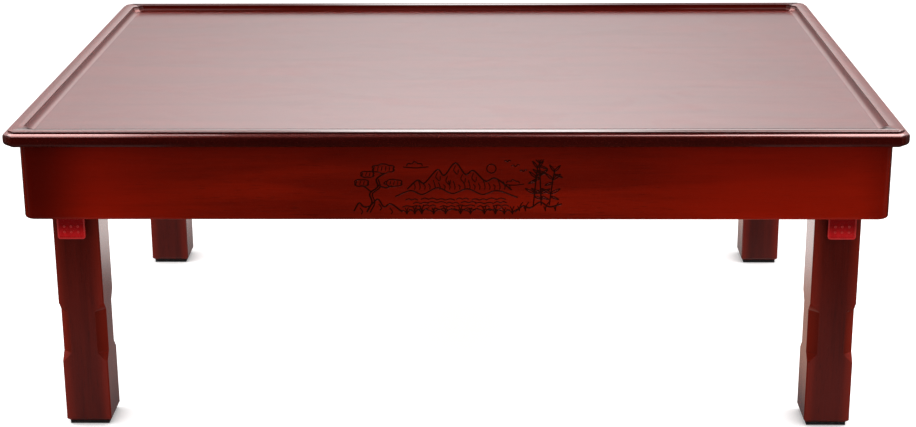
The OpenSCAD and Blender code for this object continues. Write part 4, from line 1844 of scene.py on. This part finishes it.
    def catch(self) -> None:
        """Shapes the spring leaf with its stud, the lever's bracket and its screws."""
        bm = merged_copy(self.node("catch_spring"))
        place = self.corner.placement()
        held, pushed = (place @ Vector((0, 0, -drop)) for drop in (self.leaf_held, self.leaf_pushed))
        spring = (self.corner.lever_body, held, pushed)
        self.dress(bm, "catch_spring", "catch_leaf", self.spring, smooth_under=35.0, spring=spring)
        bm = merged_copy(self.node("lever_bracket"))
        ease(bm, self.saddle_arris, segments=1, angle=60.0, shortest=2 * MM)
        self.dress(bm, "lever_bracket", "lever_saddle", self.zinc, smooth_under=35.0)
        places = []
        for side, turn in zip((-1, 1), self.saddle_screw_turns, strict=True):
            head = Vector(
                (side * self.saddle_screw_side, -self.half - self.saddle_screw_out, -self.saddle_screw_drop)
            )
            lying = Matrix.Rotation(math.radians(-90), 4, "X") @ Matrix.Rotation(math.radians(turn), 4, "Z")
            places.append(Matrix.Translation(head) @ lying)
        screws = carried(self.saddle_screw.driven(places), self.corner)
        self.dress(screws, "leg_screws", "saddle_screws", self.zinc)

    def lever(self) -> None:
        """Moulds the red lever and shapes its pin."""
        bm = merged_copy(self.node("release_lever"))
        ease(bm, self.lever_arris, shortest=self.lever_arris)
        body = self.corner.lever_body
        self.dress(bm, "release_lever", "release_lever", self.plastic, body, smooth_under=50.0)
        centre = Vector((0, -self.half - self.lever_out, -self.lever_drop))
        pin = self.lever_rivet.shape(centre, Vector((1, 0, 0)))
        self.dress(carried(pin, self.corner), "lever_pin", "lever_rivet", self.rivet)


# Studio


@dataclass(frozen=True)
class FloorSheen:
    """Painted reflection of the floor, dark where the table shades it: what gloss sees, by the place: X to
    the right and Y away, in metres.
    """

    left: Colour = (0.27, 0.22, 0.21)
    right: Colour = (0.66, 0.39, 0.31)
    far: Colour = (1.35, 1.18, 1.14)
    # dark and under are painted shade in the reflection, where the table and its legs shadow the floor.
    dark: Colour = (0.03, 0.015, 0.01)
    under: float = 0.14
    halves: Ramp = Ramp(-0.1, 0.1)
    past_front: Ramp = Ramp(-0.28, -0.2)
    beside: Ramp = Ramp(0.43, 0.48)
    beside_from: Ramp = Ramp(-0.48, -0.36)
    outside: Ramp = Ramp(0.33, 0.365)
    before: Ramp = Ramp(-0.9, -0.35)
    slant: float = 0.06
    far_from: Ramp = Ramp(0.12, 0.42)
    far_sides: Ramp = Ramp(0.3, 0.345, 1.0, 0.15)

    def lay(self, patch: Patch) -> Socket:
        """Lays the space between the legs, the space outside them and the bright floor behind.

        Args:
            patch: the floor's material.

        Returns:
            The colour that gloss sees.
        """
        place = patch.axes()
        across = patch.maths("ABSOLUTE", place["X"])
        right = patch.ranged(place["X"], *self.halves)
        between = patch.mixed(right, self.left, self.right)
        between = patch.mixed(patch.ranged(place["Y"], *self.past_front), self.dark, between)
        beside = patch.times(patch.ranged(across, *self.beside), patch.ranged(place["Y"], *self.beside_from))
        outside = patch.mixed(beside, (self.under,) * 3, self.dark)
        near = patch.mixed(patch.ranged(across, *self.outside), between, outside)
        near = patch.mixed(patch.ranged(place["Y"], *self.before), BLACK, near)
        deep = patch.maths("MULTIPLY_ADD", right, self.slant, place["Y"], clamp=False)
        share = patch.times(patch.ranged(deep, *self.far_from), patch.ranged(across, *self.far_sides))
        return patch.mixed(share, near, self.far)


@dataclass(frozen=True)
class RoomSheen:
    """What gloss sees of the room, by the way that it looks: X to the right, Y away and Z up."""

    off_middle: float = 0.01
    skirting: Ramp = Ramp(0.08, 0.24, 0.15, 1.0)
    climb: Ramp = Ramp(0.2, 0.42, 0.68, 2.5)
    fall: Ramp = Ramp(0.02, 0.3, 1.05, 0.58)
    edges: Ramp = Ramp(0.26, 0.4, 0.0, 0.75)
    high: Ramp = Ramp(0.42, 0.5)
    haze_top: float = 1.06
    window: Ramp = Ramp(0.04, 0.12, 5.0, 0.0)
    hue_over: Ramp = Ramp(0.27, 0.37)
    low_hue: Colour = (1.04, 0.99, 0.99)
    high_hue: Colour = (0.97, 1.03, 1.03)
    wings_from: Ramp = Ramp(0.1, 0.16)
    wings: Colour = (0.95, 0.68, 0.67)
    sides_from: Ramp = Ramp(0.26, 0.36)
    side_hue: Colour = (1.12, 0.9, 0.9)
    band_foot: Ramp = Ramp(0.39, 0.42)
    band_head: Ramp = Ramp(0.45, 0.5, 1.0, 0.0)
    band_sides: Ramp = Ramp(0.26, 0.34, 1.0, 0.0)
    band: Colour = (3.3, 2.5, 2.45)
    behind: Ramp = Ramp(0.1, 0.7)
    front: float = 0.02
    softbox_from: Ramp = Ramp(0.165, 0.2)
    softbox: Colour = (8.0, 5.6, 5.4)
    ceiling: float = 0.1
    roof: Ramp = Ramp(0.6, 0.72)

    def lay(self, patch: Patch) -> Socket:
        """Lays a hazy white wall with a window and a band of light, a dim front and two softboxes.

        Args:
            patch: the world's tree.

        Returns:
            The colour that gloss sees.
        """
        way = patch.axes("Generated")
        side = patch.maths("ABSOLUTE", patch.maths("ADD", way["X"], self.off_middle, clamp=False))
        out = patch.maths("ABSOLUTE", patch.maths("SUBTRACT", way["X"], self.off_middle, clamp=False))
        high = patch.ranged(way["Z"], *self.high)
        low = patch.ranged(way["Z"], *self.skirting)
        rise = patch.times(low, patch.ranged(way["Z"], *self.climb), clamp=False)
        edge = patch.ranged(side, *self.edges)
        haze = patch.maths("MULTIPLY_ADD", rise, patch.ranged(side, *self.fall), edge, clamp=False)
        haze = patch.times(haze, patch.maths("SUBTRACT", self.haze_top, high), clamp=False)
        window = patch.times(high, patch.ranged(side, *self.window), clamp=False)
        hue = patch.mixed(patch.ranged(way["Z"], *self.hue_over), self.low_hue, self.high_hue)
        wall = patch.scaled(patch.maths("ADD", haze, window, clamp=False), hue)
        wall = patch.mixed(patch.times(high, patch.ranged(out, *self.wings_from)), wall, self.wings)
        wall = patch.mixed(patch.ranged(side, *self.sides_from), wall, patch.scaled(wall, self.side_hue))
        band = patch.times(patch.ranged(way["Z"], *self.band_foot), patch.ranged(way["Z"], *self.band_head))
        band = patch.times(band, patch.ranged(side, *self.band_sides))
        wall = patch.mixed(band, wall, self.band)
        wall = patch.mixed(patch.ranged(way["Y"], *self.behind), (self.front,) * 3, wall)
        roof = patch.mixed(patch.ranged(side, *self.softbox_from), (self.ceiling,) * 3, self.softbox)
        return patch.mixed(patch.ranged(way["Z"], *self.roof), wall, roof)


@dataclass
class Studio:
    """A white floor, soft light from a wide room and the photograph's point of view."""

    floor_half: float = 8.0
    floor_glow: float = 0.88
    floor_tone: Colour = (0.8, 0.8, 0.8)
    floor_sheen: FloorSheen = FloorSheen()
    contact: float = 0.03
    contact_shade: Ramp = Ramp(0.3, 0.95, 0.35, 1.0)
    room_level: float = 0.5
    room_sheen: RoomSheen = RoomSheen()
    lamp_place: Triple = (0.95, -0.1, 1.15)
    lamp_aim: Triple = (0.4, -0.05, 0.3)
    lamp_size: Point = (0.6, 1.3)
    lamp_watts: float = 10.0
    lens: float = 73.35
    sensor: float = 36.0
    eye: Triple = (0.0392, -2.1027, 0.8167)
    yaw: float = -1.1458
    pitch: float = 17.7156
    roll: float = -0.3202

    def build(self) -> None:
        """Lays the floor, the room, the lamps and the camera."""
        self.floor()
        self.room()
        for name, side in (("left_softbox", -1), ("right_softbox", 1)):
            self.lamp(name, side)
        self.camera()

    def floor(self) -> None:
        """Lays the floor."""
        bm = bmesh.new()
        bmesh.ops.create_grid(bm, x_segments=1, y_segments=1, size=self.floor_half)
        mesh = bpy.data.meshes.new("studio_floor")
        bm.to_mesh(mesh)
        bm.free()
        floor = bpy.data.objects.new("studio_floor", mesh)
        bpy.context.scene.collection.objects.link(floor)
        mesh.materials.append(self.floor_material())

    def floor_material(self) -> bpy.types.Material:
        """Makes a white that carries a painted contact shadow under the feet and is not seen from below.

        Returns:
            The material.
        """
        made = bpy.data.materials.new("studio_floor")
        made.use_nodes = True
        made.node_tree.nodes.clear()
        patch = Patch(made.node_tree)
        rays = patch.rays()
        # Painted contact shadow: ambient occlusion greys the floor's glow near the feet.
        near_by = patch.add("ShaderNodeAmbientOcclusion", samples=8)
        patch.fill(near_by, {"Distance": self.contact})
        open_sky = patch.ranged(near_by.outputs["AO"], *self.contact_shade)
        matt = patch.add("ShaderNodeBsdfDiffuse")
        patch.fill(matt, {"Color": self.floor_tone})
        glow = patch.add("ShaderNodeEmission")
        patch.join(patch.times(patch.times(rays["Seen"], open_sky), self.floor_glow), glow.inputs["Strength"])
        plain = patch.add("ShaderNodeAddShader")
        patch.join(matt.outputs[0], plain.inputs[0])
        patch.join(glow.outputs[0], plain.inputs[1])
        sheen = patch.add("ShaderNodeEmission")
        patch.join(self.floor_sheen.lay(patch), sheen.inputs["Color"])
        above = patch.blended(rays["Is Glossy Ray"], plain, sheen)
        below = patch.add("ShaderNodeNewGeometry").outputs["Backfacing"]
        whole = patch.blended(below, above, patch.add("ShaderNodeBsdfTransparent"))
        patch.join(whole.outputs[0], patch.add("ShaderNodeOutputMaterial").inputs["Surface"])
        return made

    def room(self) -> None:
        """Lights the table evenly, shows white to the eye and shows gloss a room of its own."""
        world = bpy.data.worlds.new("studio_room")
        bpy.context.scene.world = world
        world.use_nodes = True
        world.node_tree.nodes.clear()
        patch = Patch(world.node_tree)
        rays = patch.rays()
        level = patch.mixed(rays["Is Glossy Ray"], (self.room_level,) * 3, self.room_sheen.lay(patch))
        light = patch.add("ShaderNodeBackground")
        patch.join(patch.mixed(rays["Seen"], level, WHITE), light.inputs["Color"])
        patch.join(light.outputs[0], patch.add("ShaderNodeOutputWorld").inputs["Surface"])

    def lamp(self, name: str, side: int) -> None:
        """Hangs one rectangular soft lamp.

        Args:
            name: the lamp's name.
            side: -1 for the left of the table, 1 for its right.
        """
        mirror = Matrix.Diagonal((side, 1.0, 1.0))
        place, aim = mirror @ Vector(self.lamp_place), mirror @ Vector(self.lamp_aim)
        data = bpy.data.lights.new(name, "AREA")
        data.shape = "RECTANGLE"
        data.size, data.size_y = self.lamp_size
        data.energy = self.lamp_watts
        made = bpy.data.objects.new(name, data)
        made.location = place
        made.rotation_mode = "QUATERNION"
        made.rotation_quaternion = (aim - place).to_track_quat("-Z", "Y")
        bpy.context.scene.collection.objects.link(made)

    def camera(self) -> None:
        """Sets the camera where the photograph was taken."""
        yaw, pitch, roll = (math.radians(a) for a in (self.yaw, self.pitch, self.roll))
        ahead = Vector((math.sin(yaw) * math.cos(pitch), math.cos(yaw) * math.cos(pitch), -math.sin(pitch)))
        level = Vector((math.cos(yaw), -math.sin(yaw), 0.0))
        upright = level.cross(ahead)
        right = level * math.cos(roll) + upright * math.sin(roll)
        up = upright * math.cos(roll) - level * math.sin(roll)
        data = bpy.data.cameras.new("photo_camera")
        data.lens = self.lens
        data.sensor_width = self.sensor
        made = bpy.data.objects.new("photo_camera", data)
        made.matrix_world = Matrix.Translation(self.eye) @ Matrix((right, up, -ahead)).transposed().to_4x4()
        bpy.context.scene.collection.objects.link(made)
        bpy.context.scene.camera = made


def main() -> None:
    """Builds the table, piece by piece, and the studio round it."""
    logging.basicConfig(level=logging.INFO, format="%(message)s")
    bpy.context.scene.view_settings.view_transform = "Standard"
    Tabletop().build()
    Apron().build()
    Underframe().build()
    for corner in Corner:
        FoldingLeg(corner).build()
    Studio().build()


if __name__ == "__main__":
    main()
